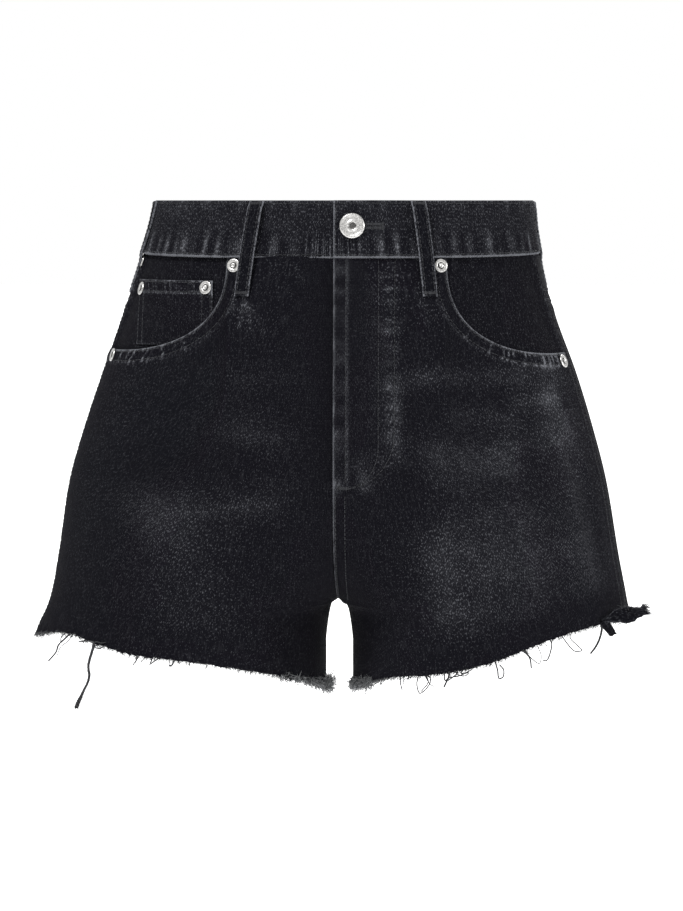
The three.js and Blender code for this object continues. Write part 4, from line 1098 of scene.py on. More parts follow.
shield_x = np.concatenate([np.linspace(-6, -0.3, 8), mix(SEAM_GAP / 2, SHIELD_WIDTH, spaced(18, 41.0))])
x, z = np.meshgrid(shield_x, mix(BAND_FRONT + TUCK, FLY_END, spaced(60, 158.0)), indexing="ij")
sides = np.where(x < 0, RIGHT, LEFT)
lift = np.where(x < 0, -1.9, fly_step(LEFT, np.abs(x), z) - CLOTH - SHIELD_GAP)
around = round_at_x(sides, np.abs(x), z)
shield = cloth_shell("shield", sides, around, z, lift, 0.0, thick=SHIELD_CLOTH, map_side=LEFT)
PANELS["shield", LEFT] = finish_piece(shield, "denim", "fly_shield", facing_black, facing_black)

# %% [markdown]
# Belt loops are narrow strips folded in three, sewn down at the top of the waistband and below its
# seam. Their two folded edges rub pale, and the middle stays dark.
# %% Belt loops
LOOP_WIDTH, LOOP_CLOTH, LOOP_LENGTH, LOOP_TOP, LOOP_TACK = 10.2, 1.8, 64.5, -0.8, 7.0
# name, half, x at its middle, place round, lean, how far it stands off
LOOPS = [
    ("front_right", RIGHT, 51.6, None, 11.0, 2.4), ("front_left", LEFT, 57.0, None, 9.0, 2.4),
    ("side_right", RIGHT, None, 1.855, 18.0, 0.15), ("side_left", LEFT, None, 2.09, 2.0, 0.8),
    ("back", LEFT, None, 4.0, 0.0, 2.4),
]
LOOP_PIECES = {}


def loop_grid(half, x, around, lean, stand, across, t):
    """Places and lift for a belt loop: across runs over its width, t down its length."""
    foot = LOOP_TOP - LOOP_LENGTH
    z = LOOP_TOP - LOOP_LENGTH * t
    middle = round_at_x(half, x, z) if around is None else np.full(z.shape, around)
    aside = lean * t + LOOP_WIDTH * (across - 0.5)
    at_centre = around == 4.0
    on_half = np.where(at_centre & (aside > 0), -half, half)
    at = walk(on_half, z, middle, np.where(at_centre, -np.abs(aside), aside))
    seat = BAND_OUT + (half * band_step(x) if around is None else 0) + SEAM_GAP
    if stand > 1:
        seat = mix(seat, SEAM_GAP, ease((t - 0.5) / 0.36))
    else:
        seat = mix(seat - 0.6, -0.4, ease((t - 0.56) / 0.1))
    ends = np.minimum(ease((LOOP_TOP - z) / LOOP_TACK), ease((z - foot) / LOOP_TACK - 0.2))
    return on_half, at, z, seat + stand * (1 - 0.4 * ease((t - 0.5) / 0.4)) * ends + LOOP_CLOTH


for name, *where in LOOPS:
    across, t = np.meshgrid(spaced(14, 10.2), spaced(60, 64.5), indexing="ij")
    on_half, at, z, lift = loop_grid(*where, across, t)
    edge = np.minimum(across, 1 - across) * LOOP_WIDTH
    bumps = ripple(t * 64 + across * 9, 5.0, 3.0 + where[-1])
    lift = lift + 0.1 * bumps * bell(edge - 2, 2) - 0.14 * bell(edge - 2.3, 0.7)
    wear = (1.15 + 0.3 * bumps) * bell(edge, 1.15) + 0.1 * np.clip(bumps, 0, 1)
    wear = wear + 0.5 * bell(t * LOOP_LENGTH, 1.2) + 0.4 * bell((1 - t) * LOOP_LENGTH, 1.2)
    loop = cloth_shell(f"loop_{name}", on_half, at, z, lift, wear, thick=LOOP_CLOTH)
    LOOP_PIECES[name] = finish_piece(loop, "denim_edge", f"belt_loop_{name}", loop_black, loop_black)

# %% [markdown]
# The button and the rivets are pressed from white metal and tumbled, so they look pale and a little
# speckled. Each is turned up from a disc, drawn out ring by ring as a press would draw it, and its
# sharp edges are then rounded.
# %% Metal
def tumbled_metal(name, tone, roughness):
    look = Look(name, roughness, Metallic=0.75)
    place = look.solid_place()
    look.bump(look.noise(place, 1500.0, 3.0), 0.35, 0.0002)
    shades(look, place, tone, 0.5, 1100.0, 2.0, (0.34, 0.56))
    return look.material


white_metal = tumbled_metal("white metal", (0.37, 0.365, 0.355), 0.3)
# Painted shade for the hollows of the button and the rivets: a darker copy of the white metal.
hollow_shade_metal = tumbled_metal("metal painted with shade in the hollows", (0.05, 0.049, 0.047), 0.5)


def drawn_metal(name, sides, rings):
    """A turned piece: a disc whose face is drawn out to each ring of radius and height, in mm."""
    bpy.ops.object.select_all(action="DESELECT")
    bpy.ops.mesh.primitive_circle_add(vertices=sides, radius=rings[0][0] * MM, fill_type="NGON")
    piece = bpy.context.object
    piece.name = name
    bpy.ops.object.mode_set(mode="EDIT")
    bpy.ops.mesh.select_mode(type="FACE")
    bpy.ops.mesh.select_all(action="SELECT")
    bpy.ops.mesh.extrude_region_move(TRANSFORM_OT_translate={"value": (0, 0, (rings[1][1] - rings[0][1]) * MM)})
    radius, height = rings[1]
    for next_radius, next_height in rings[2:]:
        bpy.ops.mesh.extrude_region_move(TRANSFORM_OT_translate={"value": (0, 0, (next_height - height) * MM)})
        size = next_radius / radius
        bpy.ops.transform.resize(value=(size, size, 1))
        radius, height = next_radius, next_height
    bpy.ops.mesh.select_all(action="SELECT")
    bpy.ops.mesh.normals_make_consistent(inside=False)
    bpy.ops.mesh.select_all(action="DESELECT")
    bpy.ops.mesh.select_mode(type="EDGE")
    bpy.ops.mesh.edges_select_sharp(sharpness=math.radians(24))
    bpy.ops.mesh.bevel(offset=0.14 * MM, segments=2)
    bpy.ops.object.mode_set(mode="OBJECT")
    bpy.ops.object.shade_smooth_by_angle(angle=math.radians(40))
    piece.select_set(False)
    return piece


def paint_hollow_shade(piece, inner, outer, shift=0.0):
    """Paints shade into a ring of an upright turned piece by giving it the shade-painted metal, moved aside by
    shift.
    """
    piece.data.materials.append(white_metal)
    piece.data.materials.append(hollow_shade_metal)
    for face in piece.data.polygons:
        x, y, z = face.center / MM
        face.material_index = int(inner <= math.hypot(x - shift, y) < outer and z > 0.5)


def outer_face(piece):
    """The face side of a piece of cloth, to seat things on."""
    points = [v.co for v in piece.data.vertices]
    faces = [tuple(face.vertices) for face in piece.data.polygons[: piece["inside_faces"]]]
    return BVHTree.FromPolygons(points, faces)


FACES = {key: outer_face(piece) for key, piece in PANELS.items()}


def form_at(half, x, z, out=0.0):
    """Points of the front by x and z, a little off the form."""
    x, z = np.broadcast_arrays(np.asarray(x, float), np.asarray(z, float))
    around = round_at_x(half, x, z)
    return skin(half, around, z) + outward(half, around, z) * out


def seated(key, half, x, z, sink):
    """A place on a piece's face by x and z, as a turn and move for something modelled upright."""
    at, normal = FACES[key].find_nearest(Vector(form_at(half, x, z, 4.0) * MM))[:2]
    turn = normal.to_track_quat("Z", "Y").to_matrix().to_4x4()
    return Matrix.Translation(at - normal * sink * MM) @ turn


BUTTON_X, BUTTON_Z, BUTTON_RADIUS = 13.0, -17.7, 8.7
button_rings = [
    (3.6, 0), (3.6, 0.9), (7.6, 0.95), (8.4, 1.25), (8.7, 1.9), (8.45, 2.75), (7.8, 3.25), (7.0, 3.1), (6.3, 2.85),
    (4.3, 2.75), (3.7, 3.15), (3.1, 3.3), (2.6, 3.05), (2.1, 2.2), (1.0, 2.05), (0.3, 2.25),
]
button = drawn_metal("button", 64, button_rings)
# Painted shade: the button's dished centre gets the dark metal, moved aside as a hollow lit from the right would
# look.
paint_hollow_shade(button, 0.0, 2.25, 0.5)
button.data.transform(seated(("band", 0), LEFT, BUTTON_X, BUTTON_Z, 0.0))
rivet_rings = [(4.7, 0), (4.7, 0.45), (4.45, 0.85), (3.9, 1.0), (2.7, 0.85), (2.3, 0.6), (1.8, 0.6),
               (1.6, 1.4), (1.2, 1.6), (0.7, 1.2), (0.25, 1.15)]
master = drawn_metal("rivet", 36, rivet_rings)
# Painted shade in the ring groove round the rivet's centre.
paint_hollow_shade(master, 1.55, 2.35)
RIVET_SINK = 0.25
# node name, the cloth below it, half, x, z
RIVETS = [
    ("rivet_pocket_right_top", "front", RIGHT, 68, -44.4), ("rivet_pocket_right_side", "front", RIGHT, 157, -108),
    ("rivet_pocket_left_top", "front", LEFT, 73, -44.4), ("rivet_pocket_left_side", "front", LEFT, 157.5, -112),
    ("rivet_coin_inner", "coin", RIGHT, 88.5, -59.3), ("rivet_coin_outer", "coin", RIGHT, 137.5, -61),
    ("rivet_side_right", "facing", RIGHT, 138.6, -42.6),
]
finish_piece(button, "metal", "waist_button")
for node, kind, half, x, z in RIVETS:
    copy = bpy.data.objects.new(node.replace("rivet_", "stud_"), master.data.copy())
    bpy.context.collection.objects.link(copy)
    copy.data.transform(seated((kind, half), half, x, z, RIVET_SINK))
    finish_piece(copy, "metal", node)
bpy.data.objects.remove(master)
print("metal pieces", 1 + len(RIVETS))

# %% [markdown]
# Yarns, fluff and stitches are all thin tubes along a path. Thousands of them are needed, so each has
# few faces and all those of one kind are joined into one mesh.
# %% Yarn tools
chance = np.random.default_rng(20)


def tubes(paths, radii, tones, sides=3):
    """Tubes of one kind: points, faces, map and tones. paths is n x k x 3 in mm, radii n x k, tones n."""
    count, steps = paths.shape[:2]
    ahead = unit(np.gradient(paths, axis=1))
    pole = np.array([0.31, 0.12, 0.94])
    pole = np.where(np.abs(ahead @ pole)[..., None] > 0.9, np.array([0.9, 0.3, 0.1]), pole)
    first = unit(np.cross(ahead, pole))
    second = np.cross(ahead, first)
    angle = 2 * np.pi * np.arange(sides) / sides
    ring = first[:, :, None] * np.cos(angle)[:, None] + second[:, :, None] * np.sin(angle)[:, None]
    points = paths[:, :, None] + radii[:, :, None, None] * ring
    number = np.arange(count * steps * sides).reshape(count, steps, sides)
    beyond = np.roll(number, -1, axis=2)
    a, b, c, d = number[:, :-1], beyond[:, :-1], beyond[:, 1:], number[:, 1:]
    corners = [(a, b, c), (a, c, d)]
    for k in range(1, sides - 1):
        corners.append((number[:, 0, 0], number[:, 0, k + 1], number[:, 0, k]))
        corners.append((number[:, -1, 0], number[:, -1, k], number[:, -1, k + 1]))
    faces = np.concatenate([np.stack([v.ravel() for v in corner], -1) for corner in corners])
    along = np.stack([np.broadcast_to(grid_distance(paths, 1)[:, :, None], number.shape), number % sides], -1)
    tone = np.broadcast_to(np.asarray(tones)[:, None, None], number.shape)
    return points.reshape(-1, 3), faces, along.reshape(-1, 2) * MM, tone.reshape(-1)


def join_tubes(name, parts):
    starts = np.cumsum([0] + [len(part[0]) for part in parts])
    moved = [(p, f + start, a, t) for (p, f, a, t), start in zip(parts, starts)]
    return finished_mesh(name, *(np.concatenate(column) for column in zip(*moved)))


def yarn_look(name, dark, pale):
    look = Look(name, 0.85, **{"Specular IOR Level": 0.2})
    blot = look.math("ADD", look.noise(look.solid_place(), 900.0), 0.4)
    look.colour(dark, pale, look.math("MULTIPLY", blot, look.attribute("wear"), clamp=True))
    return look.material


sewing_yarn = yarn_look("black sewing thread", (0.003, 0.003, 0.004), (0.022, 0.023, 0.026))
frayed_yarn = yarn_look("frayed yarn", (0.003, 0.003, 0.004), (0.2, 0.205, 0.21))
print("yarn tools ready")

# %% [markdown]
# Frayed hems. Washing has pulled the crosswise yarns out of the cut edge. Most of them are short fluff,
# some hang as curved ends, and a few long threads and loops are left where the photograph shows them.
# At each inner corner the yarns have matted into a pale ball.
# %% Frayed hems
UP = np.array([0.0, 0.0, 1.0])
HEM_RISE, THREAD_STEPS, LOOP_STEPS = 0.8, 44, 26


def hem_frames(half, rounds, above):
    """Points on the cut edge in the middle of the cloth, with their outward and sideways directions."""
    z = cut_edge(half, rounds) + above
    base, normal = skin(half, rounds, z), outward(half, rounds, z)
    base = base + normal * (fold_rise(half, rounds, z) - CLOTH / 2)[:, None]
    return base, normal, unit(np.cross(UP, normal))


def even_rounds(half, count):
    """Places spread evenly along the hem."""
    fine = np.linspace(0.01, 3.99, 1200)
    length = grid_distance(skin(half, fine, hem_at(half, fine)), 0)
    return np.interp(np.linspace(0, length[-1], count), length, fine)


def hanging(half, count, steps, reach, radius, spread, curl, tone):
    """Fibres rooted along the hem that hang down in loose curves."""
    rounds = even_rounds(half, count) + chance.normal(0, 0.006, count)
    rounds = np.clip(rounds, 0.012, 3.988)
    base, normal, sideways = hem_frames(half, rounds, chance.uniform(0.1, 0.9, count))
    base = base + normal * chance.uniform(-0.45, 0.55, count)[:, None]
    length = chance.uniform(*reach, count) * (0.6 + 0.5 * np.abs(ripple(rounds * 150, 23.0, 2.0 + half)))
    way = normal * chance.normal(0.12, spread * 0.5, count)[:, None]
    way = way + sideways * chance.normal(0, spread, count)[:, None]
    way[:, 2] -= 1
    bend = normal * chance.normal(0, curl, count)[:, None] + sideways * chance.normal(0, curl, count)[:, None]
    t = np.linspace(0, 1, steps)
    path = base[:, None] + length[:, None, None] * (way[:, None] * t[:, None] + bend[:, None] * t[:, None] ** 2)
    thick = radius * mix(1, 0.45, t)[None, :] * chance.uniform(0.75, 1.2, count)[:, None]
    return tubes(path, thick, chance.uniform(*tone, count))


# half, x of the root, thickness, then steps aside and down, in mm, as they are seen from the front
THREADS = [
    (RIGHT, -203, 0.32, [(-2, -2), (-2, -2)]),
    (RIGHT, -184, 0.5, [(-4.1, -4.5), (-4.5, -4.5), (-2.2, -5.2), (-5.3, -6)]),
    (RIGHT, -188, 0.31, [(-3.7, -3.7), (-0.4, -4.5)]), (RIGHT, -182, 0.25, [(-4, -6), (-5, -4), (-3, -6)]),
    (RIGHT, -172, 0.38, [(-3, -1), (-3, -0.4)]), (RIGHT, -168, 0.23, [(-3.7, -0.6), (-3.8, -0.3)]),
    (RIGHT, -166.5, 1.19, [(-1.1, -5.2), (-2.2, -9.7), (-1.1, -5.2), (0.6, -3.7), (-1.3, -5.2), (-1.9, -5.2),
                           (-1.9, -4.5), (-2.2, -3.7), (-1.5, -4.5)]),
    (RIGHT, -158, 0.32, [(-3.7, -2.2), (-3, 0.4), (-1.5, 2.2), (1.5, 1.9), (3.7, -0.7), (3, 0.4)]),
    (RIGHT, -157, 0.32, [(2.2, -1.9), (2.2, 0), (1.5, 1.9)]), (RIGHT, -161, 0.26, [(-4, -1.5), (-3, 0.8)]),
    (RIGHT, -135, 0.38, [(0.4, -2.2), (-3.4, -5.2)]), (RIGHT, -135.5, 0.26, [(-0.5, -2.8), (-0.5, -3)]),
    (RIGHT, -129, 0.31, [(-1.8, -1.6), (-1.6, -2.1)]), (RIGHT, -119.5, 0.35, [(-3.5, -2.6), (-3.6, -2.6)]),
    (RIGHT, -124, 0.32, [(-1, -2.4), (-1.2, -2.5)]), (RIGHT, -109, 0.46, [(-1.9, -3.7), (-1.9, -0.4)]),
    (RIGHT, -112.5, 0.26, [(0.2, -3), (0.2, -3)]), (RIGHT, -105, 0.31, [(-1.2, -1.1), (-1, -1.1)]),
    (RIGHT, -97, 0.26, [(-1.5, -2), (-1, -1.4)]), (RIGHT, -88, 0.26, [(1, -2), (-1, -1.6)]),
    (LEFT, 45.5, 0.38, [(-0.6, -3.8), (1.3, -6.3)]), (LEFT, 48.6, 0.26, [(-0.6, -3), (-0.7, -3.3)]),
    (LEFT, 54, 0.31, [(-2.5, -2.2), (-2.5, -0.9)]),
    (LEFT, 58, 0.35, [(-1, -6.3), (1.6, -6.3), (3.1, 1.3), (3.8, 5), (0.6, 4.4), (-3.8, 1.9)]),
    (LEFT, 62.4, 0.35, [(1.9, -5.6), (-4.4, -6.3)]), (LEFT, 62, 0.26, [(3.1, -5.8), (3.8, -2.5)]),
    (LEFT, 76, 0.38, [(0.6, -5.6), (3.1, 1.9), (6.9, 1.3), (7.5, 3.8)]),
    (LEFT, 79.5, 0.58, [(-0.6, -4), (-3.2, -7)]), (LEFT, 85.5, 0.42, [(-1.3, -3.1), (-5.6, -4.4)]),
    (LEFT, 89.5, 0.38, [(-1.9, -3.1), (5, 0.6)]), (LEFT, 83, 0.31, [(2.4, -2.6), (4, -1), (3, 1.4)]),
    (LEFT, 110.7, 0.42, [(1.9, -6.9), (0.9, -5.6), (2.9, 1.3), (0.4, 4.4), (-2.9, 3.8)]),
    (LEFT, 129, 0.5, [(3.8, -3), (2.1, -3.5), (0.75, -6)]),
    (LEFT, 130.5, 0.26, [(5.6, -6.5), (5, -3.1), (1.5, 5.6), (-3.4, 7.5)]),
    (LEFT, 148.4, 0.38, [(1.3, -3.8), (-1.5, -8.2), (-2.3, -3.1), (-2.5, 0.6)]),
    (LEFT, 156.5, 0.31, [(4.4, -6.3), (5, -5), (4.4, 0.6), (-3.1, 3.8), (-4, 3.8), (-0.6, 3.8)]),
    (LEFT, 184.5, 0.65, [(0.9, -5), (-1.8, -6.3), (-3.5, -5.6), (-2.3, -4.1)]),
]
# half, place round, width and depth of a loop of yarn that hangs from the hem at the back, in mm
YARN_LOOPS = [
    (LEFT, 2.4, 8, 6), (LEFT, 3.1, 7, 6), (LEFT, 3.6, 7, 5), (RIGHT, 2.4, 8, 6), (RIGHT, 3.0, 7, 5),
    (RIGHT, 3.5, 6, 6),
]
# A thread thicker than this is three strands, and all are drawn thicker by THREAD_BODY
TWISTED, THREAD_BODY = 0.9, 1.4
# half, round from and to, how far a matted roll bulges in mm, how many yarns, how pale
MATTED = [
    (RIGHT, 0.01, 0.06, 4.6, 330, 1.3), (RIGHT, 0.02, 0.5, 1.5, 420, 0.9), (RIGHT, 3.72, 3.99, 2.4, 240, 0.7),
    (LEFT, 0.01, 0.05, 1.6, 90, 1.3), (LEFT, 0.03, 0.36, 1.5, 420, 0.9), (LEFT, 3.7, 3.99, 2.4, 320, 0.8),
    (LEFT, 1.9, 1.96, 1.6, 60, 0.4),
]
LOOSE = {}


def root_round(half, x):
    """The place round of the hem that lies at x in the front."""
    around = np.array([1.0])
    for _ in range(6):
        around = np.clip(np.atleast_1d(round_at_x(half, abs(x), cut_edge(half, around))), 0.02, 1.95)
    return around


for half in (RIGHT, LEFT):
    side = SCOOPS[half][0]
    parts = [
        hanging(half, 3600, 4, (0.9, 3.4), 0.11, 0.9, 0.6, (0.0, 0.3)),
        hanging(half, 620, 6, (2.0, 5.6), 0.19, 0.5, 0.45, (0.0, 0.35)),
        hanging(half, 50, 8, (4.0, 8.0), 0.24, 0.35, 0.5, (0.0, 0.2)),
    ]
    longs, loops, widths = [], [], []
    for on, x, wide, steps in THREADS:
        if on == half:
            base, normal, sideways = (v[0] for v in hem_frames(half, root_round(half, x), HEM_RISE))
            spots = base + np.cumsum([(0, 0, 0)] + [(aside_by, 0, down) for aside_by, down in steps], 0)
            spots = spots + normal * chance.uniform(-0.6, 1.0, len(spots))[:, None]
            t = np.linspace(0, 1, THREAD_STEPS)
            path = through(np.linspace(0, 1, len(spots)), spots, t)
            strands = 3 if wide > TWISTED else 1
            for number in range(strands):
                turn = t * 40 + number * 2.1
                apart = (0.3 + 0.9 * ease((t - 0.62) / 0.3)) * (strands > 1)
                round_it = sideways * np.sin(turn)[:, None] + normal * np.cos(turn)[:, None]
                longs.append(path + round_it * apart[:, None])
                widths.append(THREAD_BODY * wide / strands**0.6 * mix(1, 0.8, t))
    for on, at, wide, deep in YARN_LOOPS:
        if on == half:
            base, normal, sideways = (v[0] for v in hem_frames(half, np.array([at]), HEM_RISE))
            turn = np.linspace(0, 1, LOOP_STEPS)[:, None]
            swing = chance.uniform(-1, 1)
            across_by = (turn - 0.5) * wide + 1.5 * np.sin(turn * 7 + swing * 3)
            depth = -np.sin(np.pi * turn) ** 0.8 * deep * (1 + 0.25 * np.sin(turn * 9 + swing))
            loops.append(base + sideways * across_by + UP * depth + normal * np.sin(turn * 5) * 0.8)
    longs, loops, widths = np.array(longs), np.array(loops), np.array(widths)
    parts.append(tubes(longs, widths, np.full(len(longs), 0.05), 5))
    # Fine fibres that stand off the long threads
    picks = chance.integers(0, THREAD_STEPS, (len(longs), 9))
    roots = np.take_along_axis(longs, picks[..., None], 1).reshape(-1, 3)
    t = np.linspace(0, 1, 4)[:, None]
    whisk = roots[:, None] + chance.normal(0, 0.8, (len(roots), 1, 3)) * t + UP * -0.8 * t**2
    parts.append(tubes(whisk, np.full(whisk.shape[:2], 0.08), np.full(len(whisk), 0.1)))
    parts.append(tubes(loops, np.full(loops.shape[:2], 0.3), np.full(len(loops), 0.1), 4))
    for on, start, end, bulge, count, pale in MATTED:
        if on == half:
            rounds = chance.uniform(start, end, count)
            base, normal, sideways = hem_frames(half, rounds, chance.uniform(-2.0, 1.6, count))
            middle = base + chance.normal(0, 1, (count, 3)) * np.array([1, 0.8, 1.3]) * bulge * 0.5
            middle[:, 0] += -half * bulge * 0.5 * (rounds < 0.2)
            way, curl = chance.normal(0, 1, (2, count, 3))
            bend = np.cross(way, curl)
            t = np.linspace(-1, 1, 8)[:, None]
            curls = middle[:, None] + way[:, None] * t * 1.5 + bend[:, None] * (t**2 - 0.4) * 0.9
            parts.append(tubes(curls, np.full(curls.shape[:2], 0.19), chance.uniform(0.0, 1, count) * pale))
    fray = join_tubes(f"frayed_hem_{side}", parts)
    LOOSE[half] = finish_piece(fray, "fray", f"hem_fray_{side}", frayed_yarn)

# %% [markdown]
# At the wearer's left hem the felled side seam was cut off long, so a stiff twisted end of it sticks
# out. It is a ribbon folded on itself, with its own frayed tip.
# %% Seam end
END_ROUND_BACK, END_ABOVE, END_LENGTH, END_WIDTH, END_THICK = 0.22, 3.4, 31.0, 10.0, 2.0


def ribbon(name, rows, columns, middle_at, across_at, out_at, width_at, thick):
    """A closed strip along a path, from functions of how far along it is."""
    t, w = np.meshgrid(spaced(rows, END_LENGTH), np.linspace(-1, 1, columns), indexing="ij")
    middle, across_to, out_to = middle_at(t), across_at(t), out_at(t)
    crumple = 0.8 * np.sin(t * 17 + w * 2.3) * np.cos(w * 2.0 + t * 5) + 0.4 * np.sin(t * 41 + w * 5)
    fold = 1.3 * (1 - w**2) * np.sin(np.pi * t)
    base = middle + across_to * (width_at(t) * w / 2)[..., None] + out_to * (crumple + fold)[..., None]
    rim = np.sqrt(np.clip(1 - np.abs(w) ** 6, 0.05, 1)) * np.sqrt(np.clip(1 - np.abs(2 * t - 1) ** 24, 0.05, 1))
    face, back = base + out_to * (thick / 2 * rim)[..., None], base - out_to * (thick / 2 * rim)[..., None]
    faces, points = shell_faces(t.shape), np.concatenate([face.reshape(-1, 3), back.reshape(-1, 3)])
    a, b, c, d = (points[faces[:, corner]] for corner in range(4))
    faces = faces if np.sum(a * (np.cross(b, c) + np.cross(c, d))) > 0 else faces[:, ::-1]
    places = np.stack([w * END_WIDTH / 2, -t * END_LENGTH], -1).reshape(-1, 2) * MM
    worn = 0.1 + 0.7 * bell(np.abs(w) - 1, 0.16) + 0.5 * bell(w - 0.1, 0.22) * (crumple > 0)
    return finished_mesh(name, points, faces, np.tile(places, (2, 1)), np.tile(worn.ravel(), 2))


end_round = side_seam(LEFT, CROTCH) - END_ROUND_BACK
end_z = hem_at(LEFT, end_round) + END_ABOVE
end_lift = fold_rise(LEFT, end_round, end_z) + 0.9
end_root = skin(LEFT, end_round, end_z) + outward(LEFT, end_round, end_z) * end_lift


def end_middle(t):
    return end_root + np.stack([31.0 * t, 13.0 * t, 8.0 * t**2 + 1.2 * np.sin(t * 5)], -1)


def end_width(t):
    return mix(3.0, 11.5, ease(t * 2.4))


def end_across(t):
    twist = 0.9 * np.sin(t * 4.6 + 0.4)
    return np.stack([-0.18 - 0.1 * t, np.sin(twist), np.cos(twist) + 0 * t], -1)


def end_out(t):
    ahead = np.stack([31.0 + 0 * t, 13.0 + 0 * t, 16.0 * t], -1)
    return unit(np.cross(end_across(t), ahead))


seam_end = ribbon("seam_end", 44, 17, end_middle, end_across, end_out, end_width, END_THICK)
finish_piece(seam_end, "denim_edge", "seam_end_left", loop_black)


def flap_middle(t):
    return end_root + np.stack([1.5 + 7.0 * t, 1.0 + 4 * t, -1.0 - 10.0 * t], -1)


def flap_across(t):
    return np.stack([0.92 + 0 * t, 0.3 - 0.2 * t, 0.2 + 0.2 * t], -1)


def flap_out(t):
    return np.stack([0.33 + 0 * t, -0.94 + 0 * t, -0.1 + 0 * t], -1)


flap = ribbon("seam_end_flap", 14, 11, flap_middle, flap_across, flap_out, lambda t: mix(8.0, 5.0, t), 1.4)
finish_piece(flap, "denim_edge", None, facing_black)
count = 150
w, at_tip = chance.uniform(-1, 1, count), chance.uniform(0, 1, count) < 0.75
t = np.where(at_tip, 0.985, chance.uniform(0.3, 1, count))
w = np.where(t < 0.98, np.sign(w), w)
base = end_middle(t) + end_across(t) * (end_width(t) * w / 2)[:, None]
way = np.array([0.8, 0.3, 0.1]) * (t > 0.9)[:, None] + end_across(t) * (w * 0.5)[:, None]
way = way + chance.normal(0, 0.4, (count, 3))
k = np.linspace(0, 1, 5)[:, None]
hair = base[:, None] + way[:, None] * k * chance.uniform(1.5, 4.2, count)[:, None, None] + UP * -1.2 * k**2
tip = join_tubes("seam_end_fluff", [tubes(hair, np.full(hair.shape[:2], 0.12), chance.uniform(0, 0.4, count))])
finish_piece(tip, "fray", None, frayed_yarn)

# %% [markdown]
# The two backs, and the two fronts below the fly, are joined by a felled seam. Its folded allowance
# lies inside, across the join, and closes it.
# %% Felled seams inside
FELLED_DEPTH, FELLED_CLOTH = -0.9, 1.6


def felled(key, name, half, around, z):
    strip = cloth_shell(name, half, around, z, FELLED_DEPTH, 0.0, thick=FELLED_CLOTH)
    LOOSE["felled", key] = finish_piece(strip, "denim", None, facing_black, twill_back)


for name, high, place_at in (
    ("front", FLY_END + 6, lambda side, reach, z: round_at_x(side, reach, z)),
    ("back", BAND_SIDE + 1, lambda side, reach, z: walk(side, z, 4.0, -reach)),
):
    reach, z = np.meshgrid(np.linspace(-7, 7, 16), np.linspace(high, CROTCH + 0.6, 60), indexing="ij")
    sides = np.where(reach < 0, RIGHT, LEFT)
    felled(name, f"felled_seam_{name}", sides, place_at(sides, np.abs(reach), z), z)
for half in (RIGHT, LEFT):
    low = float(hem_at(half, 0.0)) + 2.5
    reach, z = np.meshgrid(np.linspace(-6, 6, 14), np.linspace(CROTCH + 3, low, 40), indexing="ij")
    around = np.where(reach < 0, walk(half, z, 0.0, np.abs(reach)), walk(half, z, 4.0, -np.abs(reach)))
    felled(half, f"felled_inseam_{SCOOPS[half][0]}", half, around, z)

# %% [markdown]
# Stitches. The shorts are sewn in black thread, so the rows show only as fine beads of light. Each
# stitch is a short bar that dips into the cloth at both ends. Rows run beside the seams at the usual
# distances, about a millimetre and a half from an edge and 6 to 9 mm further in for the second row.
# %% Stitch tools
PITCH, STITCH, STITCH_RADIUS, TACK_RADIUS = 3.1, 2.45, 0.3, 0.26


def beside_line(half, around, z, distance):
    """A line on the form moved sideways by a distance in mm, to the right of its direction."""
    around, z = np.broadcast_arrays(np.asarray(around, float), np.asarray(z, float))
    here, normal = skin(half, around, z), outward(half, around, z)
    ahead = np.gradient(here, axis=0)
    side = unit(np.cross(ahead, normal))
    by_round = (skin(half, around + 0.01, z) - skin(half, around - 0.01, z)) / 0.02
    by_z = skin(half, around, z + 0.5) - skin(half, around, z - 0.5)
    rr, rz, zz = (np.sum(a * b, -1) for a, b in ((by_round, by_round), (by_round, by_z), (by_z, by_z)))
    r, t = np.sum(by_round * side, -1) * distance, np.sum(by_z * side, -1) * distance
    det = rr * zz - rz * rz
    return skin(half, around + (r * zz - t * rz) / det, z + (t * rr - r * rz) / det)


def on_cloth(key, points):
    """Moves points to a piece's face and gives the face's directions there."""
    at, out = zip(*(FACES[key].find_nearest(Vector(point * MM))[:2] for point in points))
    return np.array(at) / MM, np.array(out)


def bars(start, end, out, radius):
    """Joined stitches from start to end points, sunk at both ends."""
    share = np.array([0.0, 0.2, 0.8, 1.0])
    rise = np.array([-0.12, 0.14, 0.14, -0.12])
    path = start[:, None] + (end - start)[:, None] * share[:, None] + out[:, None] * rise[:, None]
    thick = np.broadcast_to(radius * np.array([0.5, 1.0, 1.0, 0.5]), (len(start), 4))
    return tubes(path, thick, chance.uniform(0.1, 0.7, len(start)), 5)


def sewn(key, line):
    """A row of stitches along a line of points, seated on a piece."""
    gone = grid_distance(line, 0)
    count = max(2, int(gone[-1] / PITCH))
    starts = (np.arange(count) + 0.5) * gone[-1] / count + chance.normal(0, 0.06, count)
    ends = []
    for shift in (-STITCH / 2, STITCH / 2):
        where = np.clip(starts + shift, 0, gone[-1])
        ends.append(np.stack([np.interp(where, gone, line[:, axis]) for axis in range(3)], -1))
    start, out = on_cloth(key, ends[0])
    return bars(start, on_cloth(key, ends[1])[0], out, STITCH_RADIUS)


def tack(key, a, b, width, count):
    """A bar tack: close stitches across a short line from a to b."""
    spot, out = on_cloth(key, a + (b - a) * np.linspace(0, 1, count)[:, None])
    half_width = unit(np.cross(out, b - a)) * width / 2 * chance.uniform(0.85, 1.1, count)[:, None]
    return bars(spot - half_width, spot + half_width, out, TACK_RADIUS)


ROWS = {}


def sew(key, line):
    ROWS.setdefault(key, []).append(sewn(key, line))


def sew_tack(key, a, b, width, count):
    ROWS.setdefault(key, []).append(tack(key, a, b, width, count))


print("stitch pitch", PITCH, "mm")

